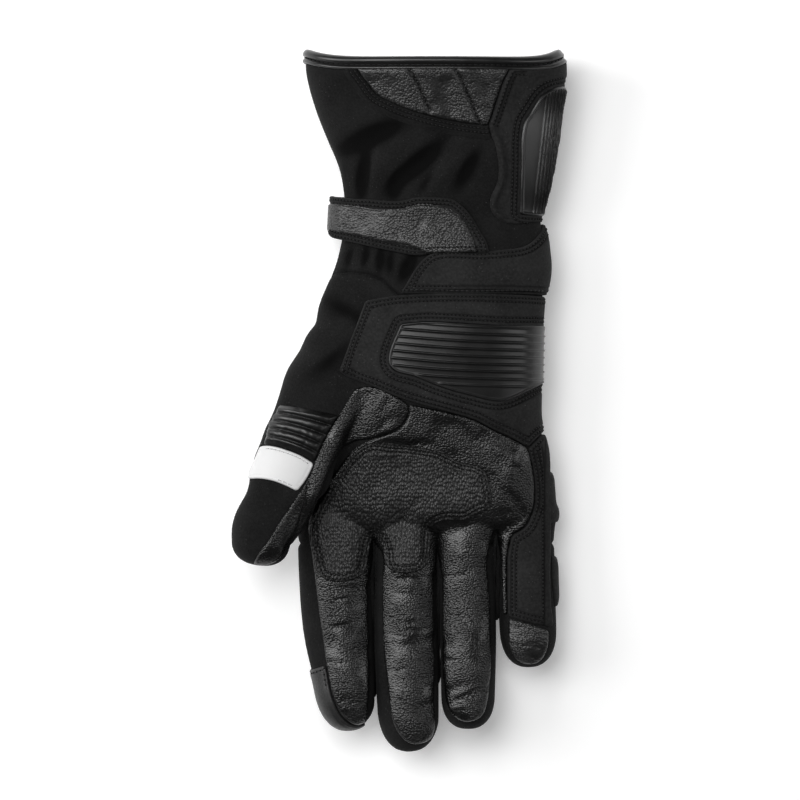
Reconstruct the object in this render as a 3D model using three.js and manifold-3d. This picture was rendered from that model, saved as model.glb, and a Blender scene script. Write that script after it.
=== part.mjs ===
// A winter motorcycle glove for the right hand, lying on its back with the palm up.
// Millimetres. +X is to the little finger, +Y to the cuff, +Z up out of the palm.
// The hollow shells carry everything: a cuff tube, a hand body and five digit tubes.
// Leather, textile and rubber panels lie on the shells as sheets cut to their seam lines.
import * as THREE from "three";
import { mergeVertices } from "three/addons/utils/BufferGeometryUtils.js";
import Module from "manifold-3d";

const wasm = await Module();
wasm.setup();

// Driving dimensions
const WALL = 3; // softshell, membrane, insulation and lining as one padded wall
const GAP = 0.3; // between any two pieces
const WRIST_SEAM_Y = 54; // where the cuff tube is sewn to the hand body
const MIDDLE_HEIGHT = 15; // palm-side panels end at this height on the digits' sides
const CUFF_MIDDLE_HEIGHT = 22;
const TOP = 70; // above every piece
const MOUTH_OVERSHOOT = 9; // how far the hollow runs past the cuff's rim
const SLIVER = 0.07; // facets flatter than this are merged

// Sheets, as how far their lower and upper faces stand off the shells
const SHEET = {
  leather: [GAP, 1.6],
  textile: [GAP, 1.5],
  thinTextile: [GAP, 1.2],
  padded: [GAP, 2.8],
  patch: [1.9, 3.1],
  band: [GAP, 2.3],
  reflector: [GAP, 1.5],
  fingerCap: [GAP, 1.4],
  edgePad: [GAP, 2.1],
};
const CUFF_GRIP = { lower: 1.5, face: 2.3, rib: 3.0 };
const HEEL_GRIP = { lower: 3.1, face: 3.9, rib: 4.7 };
const ACCORDION = { lower: GAP, face: 1.1, rib: 2.6 };
const STRAP_THICKNESS = 2;
const CUFF_RIBS = { count: 5, pitch: 2.4, width: 1.2, first: [63.5, 87], top: [66.6, 138] };
const HEEL_RIBS = { count: 7, full: 5, pitch: 4.3, width: 1.8, firstY: 32.8, slope: -0.05 };
const ACCORDION_ROLLS = { count: 4, width: 3, first: [-43.5, -7.6], step: [-1.6, -5.2], reach: [26, -7] };
const QUILT_GROOVE = { width: 1.2, depth: 0.7 };
const REFLECTOR_LOW = 24;
const INDEX_CAP_LOW = 12;
const WIDE = 200; // past every side of the glove
const UNDER = -10; // below every piece

// Cuff and hand body: one flattened section a row, from the rim to the finger roots.
// rise lifts the section's two sides towards the arm, which curves the rim.
const BODY_ROWS = [
  { y: 159.8, left: -43.4, right: 73.6, floor: 2.8, height: 48, rise: 3.4 },
  { y: 153.5, left: -44.6, right: 77.2, floor: 2.8, height: 48, rise: 3.0 },
  { y: 146, left: -43.3, right: 76.0, floor: 1.0, height: 48, rise: 1.8 },
  { y: 134, left: -39.5, right: 73.7, floor: 0, height: 46, rise: 0.8 },
  { y: 121, left: -34.0, right: 72.1, floor: 0, height: 44.5, rise: 0 },
  { y: 109, left: -29.0, right: 70.2, floor: 0.3, height: 42.5, rise: 0 },
  { y: 98, left: -26.8, right: 68.0, floor: 2.6, height: 38, rise: 0 },
  { y: 86, left: -26.2, right: 65.6, floor: 2.6, height: 35.5, rise: 0 },
  { y: 74, left: -27.8, right: 67.9, floor: 2.6, height: 35, rise: 0 },
  { y: 62, left: -30.8, right: 68.5, floor: 2.6, height: 36, rise: 0 },
  { y: 52, left: -35.2, right: 67.5, floor: 2.6, height: 37, rise: 0 },
  { y: 42, left: -38.8, right: 65.8, floor: 2.2, height: 38.6, rise: 0 },
  { y: 26, left: -40.4, right: 65.2, floor: 0, height: 42, rise: 0 },
  { y: 8, left: -41.0, right: 64.8, floor: 0, height: 41, rise: 0 },
  { y: -10, left: -41.6, right: 64.8, floor: 0, height: 39, rise: 0 },
  { y: -24, left: -43.0, right: 69.2, floor: 0, height: 37, rise: 0 },
  { y: -38, left: -45.0, right: 70.9, floor: 0, height: 35, rise: 0 },
  { y: -52, left: -47.2, right: 71.8, floor: 0.2, height: 32, rise: 0 },
  { y: -60, left: -47.4, right: 71.4, floor: 2, height: 25.5, rise: 0 },
  { y: -65, left: -44.0, right: 68.0, floor: 6, height: 15, rise: 0 },
];
const BODY_AROUND = 24;
const BODY_SQUARENESS = 2.5; // superellipse exponent of the section
const BODY_CENTRE = 0.46; // height of the widest line, as a share of the section
const FLATTENED = 1.14; // how far the round would sink below the surface it rests on

// Digits: the centre, width and thickness of the tube at each row, root first.
const DIGITS = {
  index: {
    tip: 22,
    rows: [
      { x: -30.0, y: -40, z: 15.5, width: 26, thick: 20 },
      { x: -30.5, y: -60, z: 15.6, width: 35, thick: 28.6 },
      { x: -30.3, y: -86, z: 16.2, width: 35, thick: 29 },
      { x: -29.0, y: -110, z: 19.0, width: 33, thick: 28 },
      { x: -25.9, y: -133, z: 22.0, width: 28.2, thick: 26 },
    ],
  },
  middle: {
    tip: 22.5,
    rows: [
      { x: 2.2, y: -40, z: 15.5, width: 22, thick: 20 },
      { x: 2.3, y: -62, z: 15.8, width: 28.6, thick: 28.6 },
      { x: 2.5, y: -90, z: 17.0, width: 29.4, thick: 29 },
      { x: 2.9, y: -118, z: 20.2, width: 30, thick: 28 },
      { x: 3.7, y: -143, z: 24.0, width: 29.6, thick: 26 },
    ],
  },
  ring: {
    tip: 16,
    rows: [
      { x: 30.6, y: -40, z: 15.0, width: 20, thick: 19 },
      { x: 30.8, y: -60, z: 15.4, width: 27, thick: 27.6 },
      { x: 31.3, y: -88, z: 16.6, width: 27, thick: 28 },
      { x: 31.8, y: -114, z: 19.6, width: 26.6, thick: 27 },
      { x: 31.7, y: -139, z: 23.2, width: 25.4, thick: 25 },
    ],
  },
  little: {
    tip: 18.5,
    rows: [
      { x: 56.6, y: -36, z: 14.5, width: 20, thick: 17 },
      { x: 58.5, y: -58, z: 14.2, width: 27, thick: 25.6 },
      { x: 59.1, y: -84, z: 15.0, width: 27.4, thick: 26 },
      { x: 60.0, y: -108, z: 18.2, width: 27, thick: 24.5 },
    ],
  },
  thumb: {
    tip: 11.6,
    rows: [
      { x: -13.2, y: 30, z: 19.5, width: 42, thick: 33 },
      { x: -27.0, y: 12, z: 22.0, width: 46, thick: 36 },
      { x: -37.6, y: -8, z: 26.0, width: 38.6, thick: 35 },
      { x: -46.7, y: -27, z: 31.0, width: 32, thick: 31 },
      { x: -55.7, y: -45, z: 35.0, width: 29, thick: 29 },
      { x: -63.3, y: -59, z: 37.2, width: 29.4, thick: 28.5 },
      { x: -64.8, y: -66, z: 37.8, width: 27.6, thick: 27.5 },
    ],
  },
};
const DIGIT_AROUND = 12;
const DIGIT_SQUARENESS = 2.25;
const DOME_STEPS = [0.5, 0.8, 0.96]; // rings on a digit's end, as shares of its length
const DOME_FULLNESS = 2.3; // superellipse exponent of the end's profile

// Palm-side folds and mounds: each is a soft ridge (or dent, if negative) at a centre,
// with its half length along a direction in degrees and its half width across it.
const FOLDS = [
  { x: 12, y: -32, angle: 0, along: 26, across: 16, height: -2.4 }, // hollow of the palm
  { x: 52, y: -38, angle: 85, along: 20, across: 9, height: 1.6 }, // outer mound
  { x: -10, y: -6, angle: 55, along: 22, across: 10, height: 1.4 }, // thumb's mound
  { x: 28, y: -14, angle: -18, along: 22, across: 6, height: -1.2 }, // crease under the heel pad
  { x: -14, y: 118, angle: 84, along: 22, across: 6, height: 1.7 }, // cuff folds above the strap
  { x: -3, y: 114, angle: 78, along: 20, across: 6, height: -2.0 },
  { x: 12, y: 111, angle: 62, along: 20, across: 6, height: 1.5 },
  { x: 26, y: 109, angle: 55, along: 18, across: 6, height: -1.8 },
  { x: -22, y: 70, angle: 65, along: 10, across: 5, height: -1.6 }, // gathers at the wrist
  { x: -12, y: 66, angle: 75, along: 10, across: 5, height: 1.4 },
  { x: -2, y: 63, angle: 70, along: 10, across: 5, height: -1.6 },
];

// Strap: the tube that it lies on bridges the narrow wrist on the thumb's side.
const STRAP_ROWS = [
  { y: 102, left: -33.0, right: 72, floor: 0, height: 44, rise: 0 },
  { y: 86, left: -34.0, right: 72, floor: 0, height: 40.8, rise: 0 },
  { y: 74, left: -34.6, right: 72, floor: 0, height: 40.2, rise: 0 },
  { y: 64, left: -35.0, right: 72, floor: 0, height: 41.0, rise: 0 },
];
const STRAP_FRONT = [
  [-40, 97], [-17, 94.5], [-5, 93], [0, 93.3], [7, 95], [13, 95.2], [22, 94], [27, 92.5], [33.5, 87],
  [37, 81.5], [39, 76.5], [40.6, 69.4], [16, 68.8], [4, 69.8], [-5, 71], [-17, 73], [-29, 75], [-40, 77.5],
];
const STRAP_BACK = [[-40, 97], [30, 96], [30, 77], [-40, 77.5]];
const BAND_FRONT = [
  [11, 65], [15.5, 68], [38.5, 68.6], [46.5, 69.2], [58.5, 71.5], [64.5, 76.5], [68, 81.6], [80, 82],
  [80, 48.8], [0, 48.8],
];
const BAND_BACK = [[-4, 72], [40, 73], [62, 81.6], [80, 82], [80, 48.8], [-4, 49.5]];

// Seam lines of the panels, seen from above
const GUSSET = [
  [-19.5, 153.9], [-16.5, 148.5], [-11.5, 141.5], [-4.5, 137.5], [7, 133], [20.5, 129.5], [32, 127.5],
  [40.2, 126.6], [41.2, 129.5], [44.7, 140], [47.7, 149], [49.5, 153.9],
];
const QUILT_LINES = [
  [[5, 154], [14, 134]],
  [[27, 154], [37, 130]],
];
const CUFF_SIDE_PANEL = [
  [50, 153.9], [48.3, 149], [45.3, 140], [41.8, 129.5], [40.8, 126.5], [44.3, 116.5], [45.3, 102],
  [41.8, 93],
  [42, 88], [48, 82.4], [66, 83], [84, 83], [84, 155.4],
];
const CUFF_GRIP_OUTLINE = [
  [84, 145], [67.5, 143], [58.5, 131.5], [57, 129], [55.5, 106], [55, 86], [61, 85.6], [84, 87.5],
];
const HEEL_PANEL = [
  [-16, 45.5], [0, 48], [80, 48], [80, -15], [67.4, -15.4], [59, -22.4], [52, -18], [43.5, -14], [35, -9.5],
  [23.5, -6], [0, 0.6], [-13.5, 6.3], [-24.5, 10.3], [-28.5, 13],
];
const HEEL_GRIP_OUTLINE = [
  [0, 35], [11, 36], [31, 35.2], [47, 34.4], [68.3, 34.6], [68.3, 14], [66, 8.5], [58.5, 4], [46.5, -1],
  [31, 1.8], [17.5, 5.8], [7, 10], [-3.5, 13.5], [-5.5, 17],
];
const PALM_LEATHER = [
  [4, -2.4], [23.5, -6.4], [35, -9.9], [43.5, -14.4], [52, -18.4], [58.6, -23], [61.2, -33.5],
  [62.2, -42.5],
  [61.2, -53], [57.6, -60], [52.2, -64], [50.6, -69.5], [50.1, -101], [48.6, -101], [48.2, -85],
  [46.6, -68],
  [44.6, -60], [41.6, -66], [41.4, -102], [41.6, -115.5], [41.2, -133.5], [40, -142.5], [37.4, -147.6],
  [32.5, -150], [28, -149.5], [24, -146.4], [21.6, -141.6], [20.6, -128], [20.2, -111], [20, -84],
  [17.2, -65.6],
  [14.8, -84], [15.2, -111], [15.4, -140], [15.6, -152], [13.6, -158], [8, -160.4], [4.5, -160],
  [1, -157.6],
  [-3, -151], [-5.5, -133.5], [-7.5, -116.5], [-8, -84], [-8.2, -72], [-12, -67], [-15.6, -84],
  [-15.4, -111],
  [-15.2, -130], [-15.6, -144], [-17, -150.6], [-20.5, -151.8], [-26, -148.6], [-30.5, -140.6], [-34, -125],
  [-38.5, -93.5], [-41.5, -68.5], [-42.6, -58.5], [-39.5, -50.4], [-33.5, -41], [-31.6, -36], [-26.6, -29],
  [-21.2, -23], [-14.7, -19.4], [-6.8, -16.4], [-0.6, -13.8], [3.8, -7.6],
];
const PALM_PATCH = [
  [-15, -20.5], [-4, -21], [6.5, -22], [17.5, -24], [28, -29], [36, -31], [39.5, -33.5],
  [41.5, -40], [42.5, -47],
  [41, -50.5], [36, -52.5], [30.5, -55.5], [19.5, -56], [14, -58.5], [13, -63], [12, -74.5], [10.5, -78.5],
  [7.5, -80.5], [-3.6, -80.3], [-6, -77.5], [-7, -71], [-8.6, -66], [-12, -64], [-15.6, -66],
  [-16.8, -74.5],
  [-18.4, -81.6], [-22.5, -84.3], [-31.5, -85.2], [-36.6, -83], [-39.8, -74.5], [-41.6, -60], [-40, -55],
  [-37, -49], [-31, -39], [-27, -32], [-21.5, -25],
];
const THUMB_LEATHER = [
  [-21, 5], [-27.5, -6], [-32, -12.5], [-38.5, -26], [-43.5, -38.5], [-48.5, -46], [-56, -57],
  [-60.5, -64.5],
  [-65, -70.5], [-68, -76], [-62, -76], [-56.6, -73.6], [-52.6, -69], [-49, -62.6], [-44.4, -54.6],
  [-40, -46.5],
  [-36.5, -38.5], [-32, -29], [-27, -22.4], [-21.5, -19.5], [-15, -18.6], [-7, -16], [-1, -13.3],
  [3.4, -7.4],
  [3.6, -2.4], [0, 0.1], [-13.5, 5.8],
];
const ACCORDION_OUTLINE = [
  [-80, 1], [-59, -2.6], [-44, -4.6], [-29, -7.6], [-32.4, -12.9], [-38.9, -26.2], [-40.2, -29.6],
  [-46, -26.4],
  [-53, -24], [-62, -22.8], [-80, -23.4],
];
const REFLECTOR = [
  [-80, -24.4], [-62, -23.8], [-53, -25], [-46, -27.4], [-40.6, -30.6], [-44.6, -38.9], [-49.6, -43.6],
  [-59.5, -39.5], [-80, -39.5],
];
const EDGE_PANEL = [
  [59.4, -23.3], [61.9, -33.5], [62.9, -42.5], [61.9, -53], [58.4, -60.3], [52.9, -64.3], [51.3, -69.5],
  [50.8, -85], [50.8, -101.6], [65, -105.6], [71, -106.6], [69.8, -90], [69.8, -75.5], [70, -58],
  [69.6, -34.5],
  [68.8, -24], [67, -16.2],
];
const LITTLE_TIP = [
  [50.8, -102.4], [51.4, -115.5], [55, -122], [59.5, -123.6], [64.6, -122.6], [68, -117.5], [69, -108.5],
  [65, -106.4],
];
const INDEX_CAP = [
  [-50, -130.5], [-34.8, -124], [-31.3, -140.6], [-26.6, -149.6], [-21, -152.6], [-16.6, -151.6],
  [-14, -160],
  [-50, -160],
];
const EDGE_PAD_LEFT = 70.4;
const EDGE_PADS = [
  { name: "edge_pad_hand", yHigh: -34.3, yLow: -58, zLow: 7, zHigh: 24 },
  { name: "edge_pad_finger", yHigh: -74, yLow: -97.5, zLow: 5, zHigh: 22 },
];

// Rim binding: its section over the wall's edge, as steps out from and past the rim
const BINDING_SECTION = [
  [GAP, -5.4], [1.6, -5.2], [1.1, -2.9], [2.1, -1.0], [0.8, 1.2], [-WALL - 1.6, 1.0], [-WALL - 2, -5],
  [-WALL - GAP, -5], [-WALL - GAP, GAP], [GAP, GAP],
];

// Solids
function solidFrom(geometry) {
  const bare = geometry.clone();
  bare.deleteAttribute("normal");
  bare.deleteAttribute("uv");
  const merged = mergeVertices(bare, 1e-4);
  return new wasm.Manifold(
    new wasm.Mesh({
      numProp: 3,
      vertProperties: new Float32Array(merged.attributes.position.array),
      triVerts: new Uint32Array(merged.index.array),
    }),
  );
}

function geometryFrom(points, triangles) {
  const geometry = new THREE.BufferGeometry();
  const flat = points.flatMap((p) => [p.x, p.y, p.z]);
  geometry.setAttribute("position", new THREE.Float32BufferAttribute(flat, 3));
  geometry.setIndex(triangles);
  return geometry;
}

// A closed tube through rings that run the same way round, with a fan at each end.
function loft(rings) {
  const around = rings[0].length;
  const points = rings.flat();
  const triangles = [];
  for (let row = 0; row < rings.length - 1; row++) {
    for (let k = 0; k < around; k++) {
      const a = row * around + k;
      const b = row * around + ((k + 1) % around);
      triangles.push(a, b, a + around, b, b + around, a + around);
    }
  }
  const middleOf = (ring) => ring.reduce((sum, p) => sum.add(p), new THREE.Vector3()).divideScalar(around);
  const first = points.push(middleOf(rings[0])) - 1;
  const last = points.push(middleOf(rings.at(-1))) - 1;
  const lastRow = (rings.length - 1) * around;
  for (let k = 0; k < around; k++) {
    const next = (k + 1) % around;
    triangles.push(first, next, k, last, lastRow + k, lastRow + next);
  }
  return solidFrom(geometryFrom(points, triangles));
}

// An upright block with the outline as its plan.
function prism(outline, low, high) {
  const shape = new THREE.Shape(outline.map(([x, y]) => new THREE.Vector2(x, y)));
  const geometry = new THREE.ExtrudeGeometry(shape, { depth: high - low, bevelEnabled: false });
  return solidFrom(geometry.translate(0, 0, low));
}

// The plan of a bar of the given width along a line.
function barOutline([x0, y0], [x1, y1], width) {
  const length = Math.hypot(x1 - x0, y1 - y0);
  const nx = (-(y1 - y0) / length) * (width / 2);
  const ny = ((x1 - x0) / length) * (width / 2);
  return [[x0 + nx, y0 + ny], [x0 - nx, y0 - ny], [x1 - nx, y1 - ny], [x1 + nx, y1 + ny]];
}

function joined(solids) {
  return solids.reduce((whole, solid) => whole.add(solid));
}

function largestBody(solid) {
  return solid.decompose().sort((a, b) => b.volume() - a.volume())[0];
}

// Forms of the cuff and hand body, and of the digits, each grown by a distance
const bent = (value, exponent) => Math.sign(value) * Math.abs(value) ** (2 / exponent);

function foldHeight(x, y) {
  return FOLDS.reduce((sum, fold) => {
    const angle = THREE.MathUtils.degToRad(fold.angle);
    const dx = x - fold.x;
    const dy = y - fold.y;
    const along = (dx * Math.cos(angle) + dy * Math.sin(angle)) / fold.along;
    const across = (dy * Math.cos(angle) - dx * Math.sin(angle)) / fold.across;
    return sum + fold.height * Math.exp(-along * along - across * across);
  }, 0);
}

function bodyRing(row, growth, yShift = 0) {
  const middle = (row.left + row.right) / 2;
  const halfWidth = (row.right - row.left) / 2;
  const centre = row.floor + BODY_CENTRE * row.height;
  const above = (1 - BODY_CENTRE) * row.height;
  const below = BODY_CENTRE * row.height * FLATTENED;
  return Array.from({ length: BODY_AROUND }, (_, k) => {
    const angle = (2 * Math.PI * k) / BODY_AROUND;
    const c = bent(Math.cos(angle), BODY_SQUARENESS);
    const s = bent(Math.sin(angle), BODY_SQUARENESS);
    const y = row.y + row.rise * Math.cos(angle) ** 4 + yShift;
    const fold = s > 0 ? s * foldHeight(middle + halfWidth * c, row.y) : 0;
    const z = centre + (s > 0 ? above + growth : below + growth) * s + fold;
    return new THREE.Vector3(middle + (halfWidth + growth) * c, y, Math.max(z, row.floor - growth));
  });
}

function bodyForm(rows, growth) {
  return loft(rows.map((row, i) => bodyRing(row, growth, i === rows.length - 1 ? -growth : 0)));
}

// The hollow inside the cuff and hand body: plainer than the outside, and open at the rim.
function bodyHollow() {
  const last = BODY_ROWS.length - 1;
  const plainer = BODY_ROWS.filter((_, i) => i % 2 === 0 || i === 1 || i >= last - 1);
  const rings = plainer.map((row) => bodyRing(row, -WALL, row === BODY_ROWS[last] ? WALL : 0));
  return loft([bodyRing(BODY_ROWS[0], -WALL, MOUTH_OVERSHOOT), ...rings]);
}

function digitForm({ rows, tip }, growth) {
  const up = new THREE.Vector3(0, 0, 1);
  const centres = rows.map((row) => new THREE.Vector3(row.x, row.y, row.z));
  const rings = [];
  const addRing = (centre, tangent, halfWidth, halfThick) => {
    const side = up.clone().cross(tangent).normalize();
    const over = tangent.clone().cross(side).normalize();
    const ring = Array.from({ length: DIGIT_AROUND }, (_, k) => {
      const angle = (2 * Math.PI * k) / DIGIT_AROUND;
      const across = halfWidth * bent(Math.cos(angle), DIGIT_SQUARENESS);
      const high = halfThick * bent(Math.sin(angle), DIGIT_SQUARENESS);
      return centre.clone().addScaledVector(side, across).addScaledVector(over, high);
    });
    rings.push(ring);
  };
  const tangentAt = (i) => {
    const before = centres[Math.max(i - 1, 0)];
    const after = centres[Math.min(i + 1, centres.length - 1)];
    return after.clone().sub(before).normalize();
  };
  rows.forEach((row, i) => addRing(centres[i], tangentAt(i), row.width / 2 + growth, row.thick / 2 + growth));
  const end = rows.at(-1);
  const tangent = tangentAt(rows.length - 1);
  DOME_STEPS.forEach((share) => {
    const narrowing = (1 - share ** DOME_FULLNESS) ** (1 / DOME_FULLNESS);
    const centre = centres.at(-1).clone().addScaledVector(tangent, share * (tip + growth));
    addRing(centre, tangent, (end.width / 2 + growth) * narrowing, (end.thick / 2 + growth) * narrowing);
  });
  return loft(rings);
}

const grownForms = new Map();
function gloveForm(growth) {
  if (!grownForms.has(growth)) {
    const digits = Object.values(DIGITS).map((digit) => digitForm(digit, growth));
    grownForms.set(growth, joined([bodyForm(BODY_ROWS, growth), ...digits]));
  }
  return grownForms.get(growth);
}

// A sheet lying on the glove between two distances from it, cut to an outline.
function sheet([lower, upper], outline, low = MIDDLE_HEIGHT, high = TOP) {
  const layer = gloveForm(upper).subtract(gloveForm(lower));
  return largestBody(layer.intersect(prism(outline, low, high))).simplify(SLIVER);
}

// Shells
function cuffAndHandShells() {
  const hollow = joined(Object.values(DIGITS).map((digit) => digitForm(digit, -WALL)));
  const wall = bodyForm(BODY_ROWS, 0).subtract(bodyHollow());
  const half = (yLow, yHigh) => {
    const outline = [[-WIDE, yLow], [WIDE, yLow], [WIDE, yHigh], [-WIDE, yHigh]];
    return prism(outline, UNDER, TOP);
  };
  return {
    cuff: wall.intersect(half(WRIST_SEAM_Y + GAP / 2, WIDE)).simplify(SLIVER),
    hand: wall.intersect(half(-WIDE, WRIST_SEAM_Y - GAP / 2)).subtract(hollow).simplify(SLIVER),
  };
}

function digitShell(digit) {
  const tube = digitForm(digit, 0).subtract(digitForm(digit, -WALL));
  return largestBody(tube.subtract(bodyForm(BODY_ROWS, GAP))).simplify(SLIVER);
}

// Pieces on the cuff
function rimBinding() {
  const [rimRow, nextRow] = BODY_ROWS;
  const rings = BINDING_SECTION.map(([away, past]) => {
    const atRim = bodyRing(rimRow, away, Math.max(past, 0));
    const below = bodyRing(nextRow, away);
    const share = Math.max(-past, 0) / (rimRow.y - nextRow.y);
    return atRim.map((point, k) => point.lerp(below[k], share));
  });
  const points = rings.flat();
  const triangles = [];
  rings.forEach((_, j) => {
    const here = j * BODY_AROUND;
    const next = ((j + 1) % rings.length) * BODY_AROUND;
    for (let k = 0; k < BODY_AROUND; k++) {
      const after = (k + 1) % BODY_AROUND;
      triangles.push(here + k, next + k, here + after, here + after, next + k, next + after);
    }
  });
  return solidFrom(geometryFrom(points, triangles));
}

function quiltedGusset() {
  const [, upper] = SHEET.leather;
  const grooves = QUILT_LINES.map(([from, to]) => prism(barOutline(from, to, QUILT_GROOVE.width), 0, TOP));
  const surface = gloveForm(upper + 1).subtract(gloveForm(upper - QUILT_GROOVE.depth));
  const cut = surface.intersect(joined(grooves));
  return sheet(SHEET.leather, GUSSET, CUFF_MIDDLE_HEIGHT).subtract(cut);
}

// A moulded rubber grip: a smooth face with ribs standing on it.
function ribbedGrip({ lower, face, rib }, outline, low, bars) {
  const ribs = joined(bars.map((bar) => prism(bar, low, TOP)));
  const layer = gloveForm(rib).subtract(gloveForm(lower));
  const raised = layer.intersect(prism(outline, low, TOP)).intersect(ribs);
  return largestBody(sheet([lower, face], outline, low).add(raised)).simplify(SLIVER);
}

function cuffGrip() {
  const { count, pitch, width, first, top } = CUFF_RIBS;
  const bars = Array.from({ length: count }, (_, i) => {
    const inset = i * pitch;
    return barOutline([first[0] + inset, first[1]], [top[0] + inset, top[1] + i], width);
  });
  return ribbedGrip(CUFF_GRIP, CUFF_GRIP_OUTLINE, CUFF_MIDDLE_HEIGHT, bars);
}

function heelGrip() {
  const { count, full, pitch, width, firstY, slope } = HEEL_RIBS;
  const [left, right, shorter] = [-3.2, 66.5, 12];
  const bars = Array.from({ length: count }, (_, i) => {
    const y = firstY - i * pitch;
    const start = i < full ? left : left + (i - full + 1) * shorter;
    return barOutline([start, y - (slope * right) / 2], [right, y + (slope * right) / 2], width);
  });
  return ribbedGrip(HEEL_GRIP, HEEL_GRIP_OUTLINE, MIDDLE_HEIGHT, bars);
}

// A loop round the wrist from a palm-side outline and a plain stretch on the back.
function wristLoop(outer, inner, front, back, height) {
  const ring = outer.subtract(inner);
  const frontPart = ring.intersect(prism(front, height, TOP));
  const backPart = ring.intersect(prism(back, UNDER, height));
  return largestBody(frontPart.add(backPart));
}

function strap() {
  const outer = bodyForm(STRAP_ROWS, 0);
  const inner = bodyForm(STRAP_ROWS, -STRAP_THICKNESS);
  const loop = wristLoop(outer, inner, STRAP_FRONT, STRAP_BACK, CUFF_MIDDLE_HEIGHT);
  return largestBody(loop.subtract(gloveForm(GAP)));
}

function wristBand() {
  const [lower, upper] = SHEET.band;
  return wristLoop(gloveForm(upper), gloveForm(lower), BAND_FRONT, BAND_BACK, CUFF_MIDDLE_HEIGHT);
}

// Pieces on the thumb
function accordion() {
  const { count, width, first, step, reach } = ACCORDION_ROLLS;
  const bars = Array.from({ length: count }, (_, i) => {
    const [x, y] = [first[0] + i * step[0], first[1] + i * step[1]];
    return barOutline([x - reach[0], y - reach[1]], [x + reach[0], y + reach[1]], width);
  });
  return ribbedGrip(ACCORDION, ACCORDION_OUTLINE, MIDDLE_HEIGHT, bars);
}

function thumbLeather() {
  const grownPalm = prism(PALM_LEATHER, MIDDLE_HEIGHT, TOP);
  return largestBody(sheet(SHEET.leather, THUMB_LEATHER, MIDDLE_HEIGHT).subtract(grownPalm));
}

// The glove
const SOFTSHELL = { color: 0x16171a, roughness: 0.95 };
const LEATHER = { color: 0x1d1d1f, roughness: 0.5 };
const LOOKS = {
  softshell: SOFTSHELL,
  leather: LEATHER,
  binding: { color: 0x26272a, roughness: 0.45 },
  rubber: { color: 0x1f2022, roughness: 0.35 },
  patch: { color: 0x222224, roughness: 0.7 },
  textile: { color: 0x1b1c1f, roughness: 0.9 },
  reflector: { color: 0xe9eae8, roughness: 0.4 },
};

const glove = new THREE.Group();
function addPiece(name, look, solid) {
  const mesh = solid.getMesh();
  const points = new Float32Array(mesh.numVert * 3);
  for (let i = 0; i < mesh.numVert; i++) {
    points.set(mesh.vertProperties.subarray(i * mesh.numProp, i * mesh.numProp + 3), i * 3);
  }
  const geometry = new THREE.BufferGeometry();
  geometry.setAttribute("position", new THREE.BufferAttribute(points, 3));
  geometry.setIndex(new THREE.BufferAttribute(mesh.triVerts, 1));
  const material = new THREE.MeshStandardMaterial({ metalness: 0, ...LOOKS[look] });
  const piece = new THREE.Mesh(geometry, material);
  piece.name = name;
  glove.add(piece);
}

const shells = cuffAndHandShells();
addPiece("cuff_shell", "softshell", shells.cuff);
addPiece("hand_shell", "softshell", shells.hand);
for (const [name, digit] of Object.entries(DIGITS)) {
  addPiece(`${name}_shell`, "softshell", digitShell(digit));
}
addPiece("rim_binding", "binding", rimBinding());
addPiece("cuff_gusset", "leather", quiltedGusset());
addPiece("cuff_side_panel", "textile", sheet(SHEET.thinTextile, CUFF_SIDE_PANEL, CUFF_MIDDLE_HEIGHT));
addPiece("cuff_grip", "rubber", cuffGrip());
addPiece("wrist_strap", "leather", strap());
addPiece("wrist_band", "textile", wristBand());
addPiece("heel_panel", "textile", sheet(SHEET.padded, HEEL_PANEL));
addPiece("heel_grip", "rubber", heelGrip());
addPiece("palm_leather", "leather", sheet(SHEET.leather, PALM_LEATHER));
addPiece("palm_patch", "patch", sheet(SHEET.patch, PALM_PATCH));
addPiece("thumb_leather", "leather", thumbLeather());
addPiece("thumb_accordion", "rubber", accordion());
addPiece("thumb_reflector", "reflector", sheet(SHEET.reflector, REFLECTOR, REFLECTOR_LOW));
addPiece("edge_panel", "textile", sheet(SHEET.textile, EDGE_PANEL));
addPiece("little_tip_leather", "leather", sheet(SHEET.leather, LITTLE_TIP));
addPiece("index_cap", "leather", sheet(SHEET.fingerCap, INDEX_CAP, INDEX_CAP_LOW));
for (const { name, yHigh, yLow, zLow, zHigh } of EDGE_PADS) {
  const outline = [[EDGE_PAD_LEFT, yLow], [WIDE, yLow], [WIDE, yHigh], [EDGE_PAD_LEFT, yHigh]];
  addPiece(name, "textile", sheet(SHEET.edgePad, outline, zLow, zHigh));
}

// The origin is under the middle of the glove, on the surface that it lies on.
const box = new THREE.Box3().setFromObject(glove);
const middle = box.getCenter(new THREE.Vector3());
glove.position.set(-middle.x, -middle.y, -box.min.z);

export default glove;
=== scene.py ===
from collections import namedtuple
import math

import bpy
import numpy as np
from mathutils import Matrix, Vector
from mathutils.bvhtree import BVHTree
from mathutils.geometry import delaunay_2d_cdt
from mathutils.kdtree import KDTree


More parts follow.
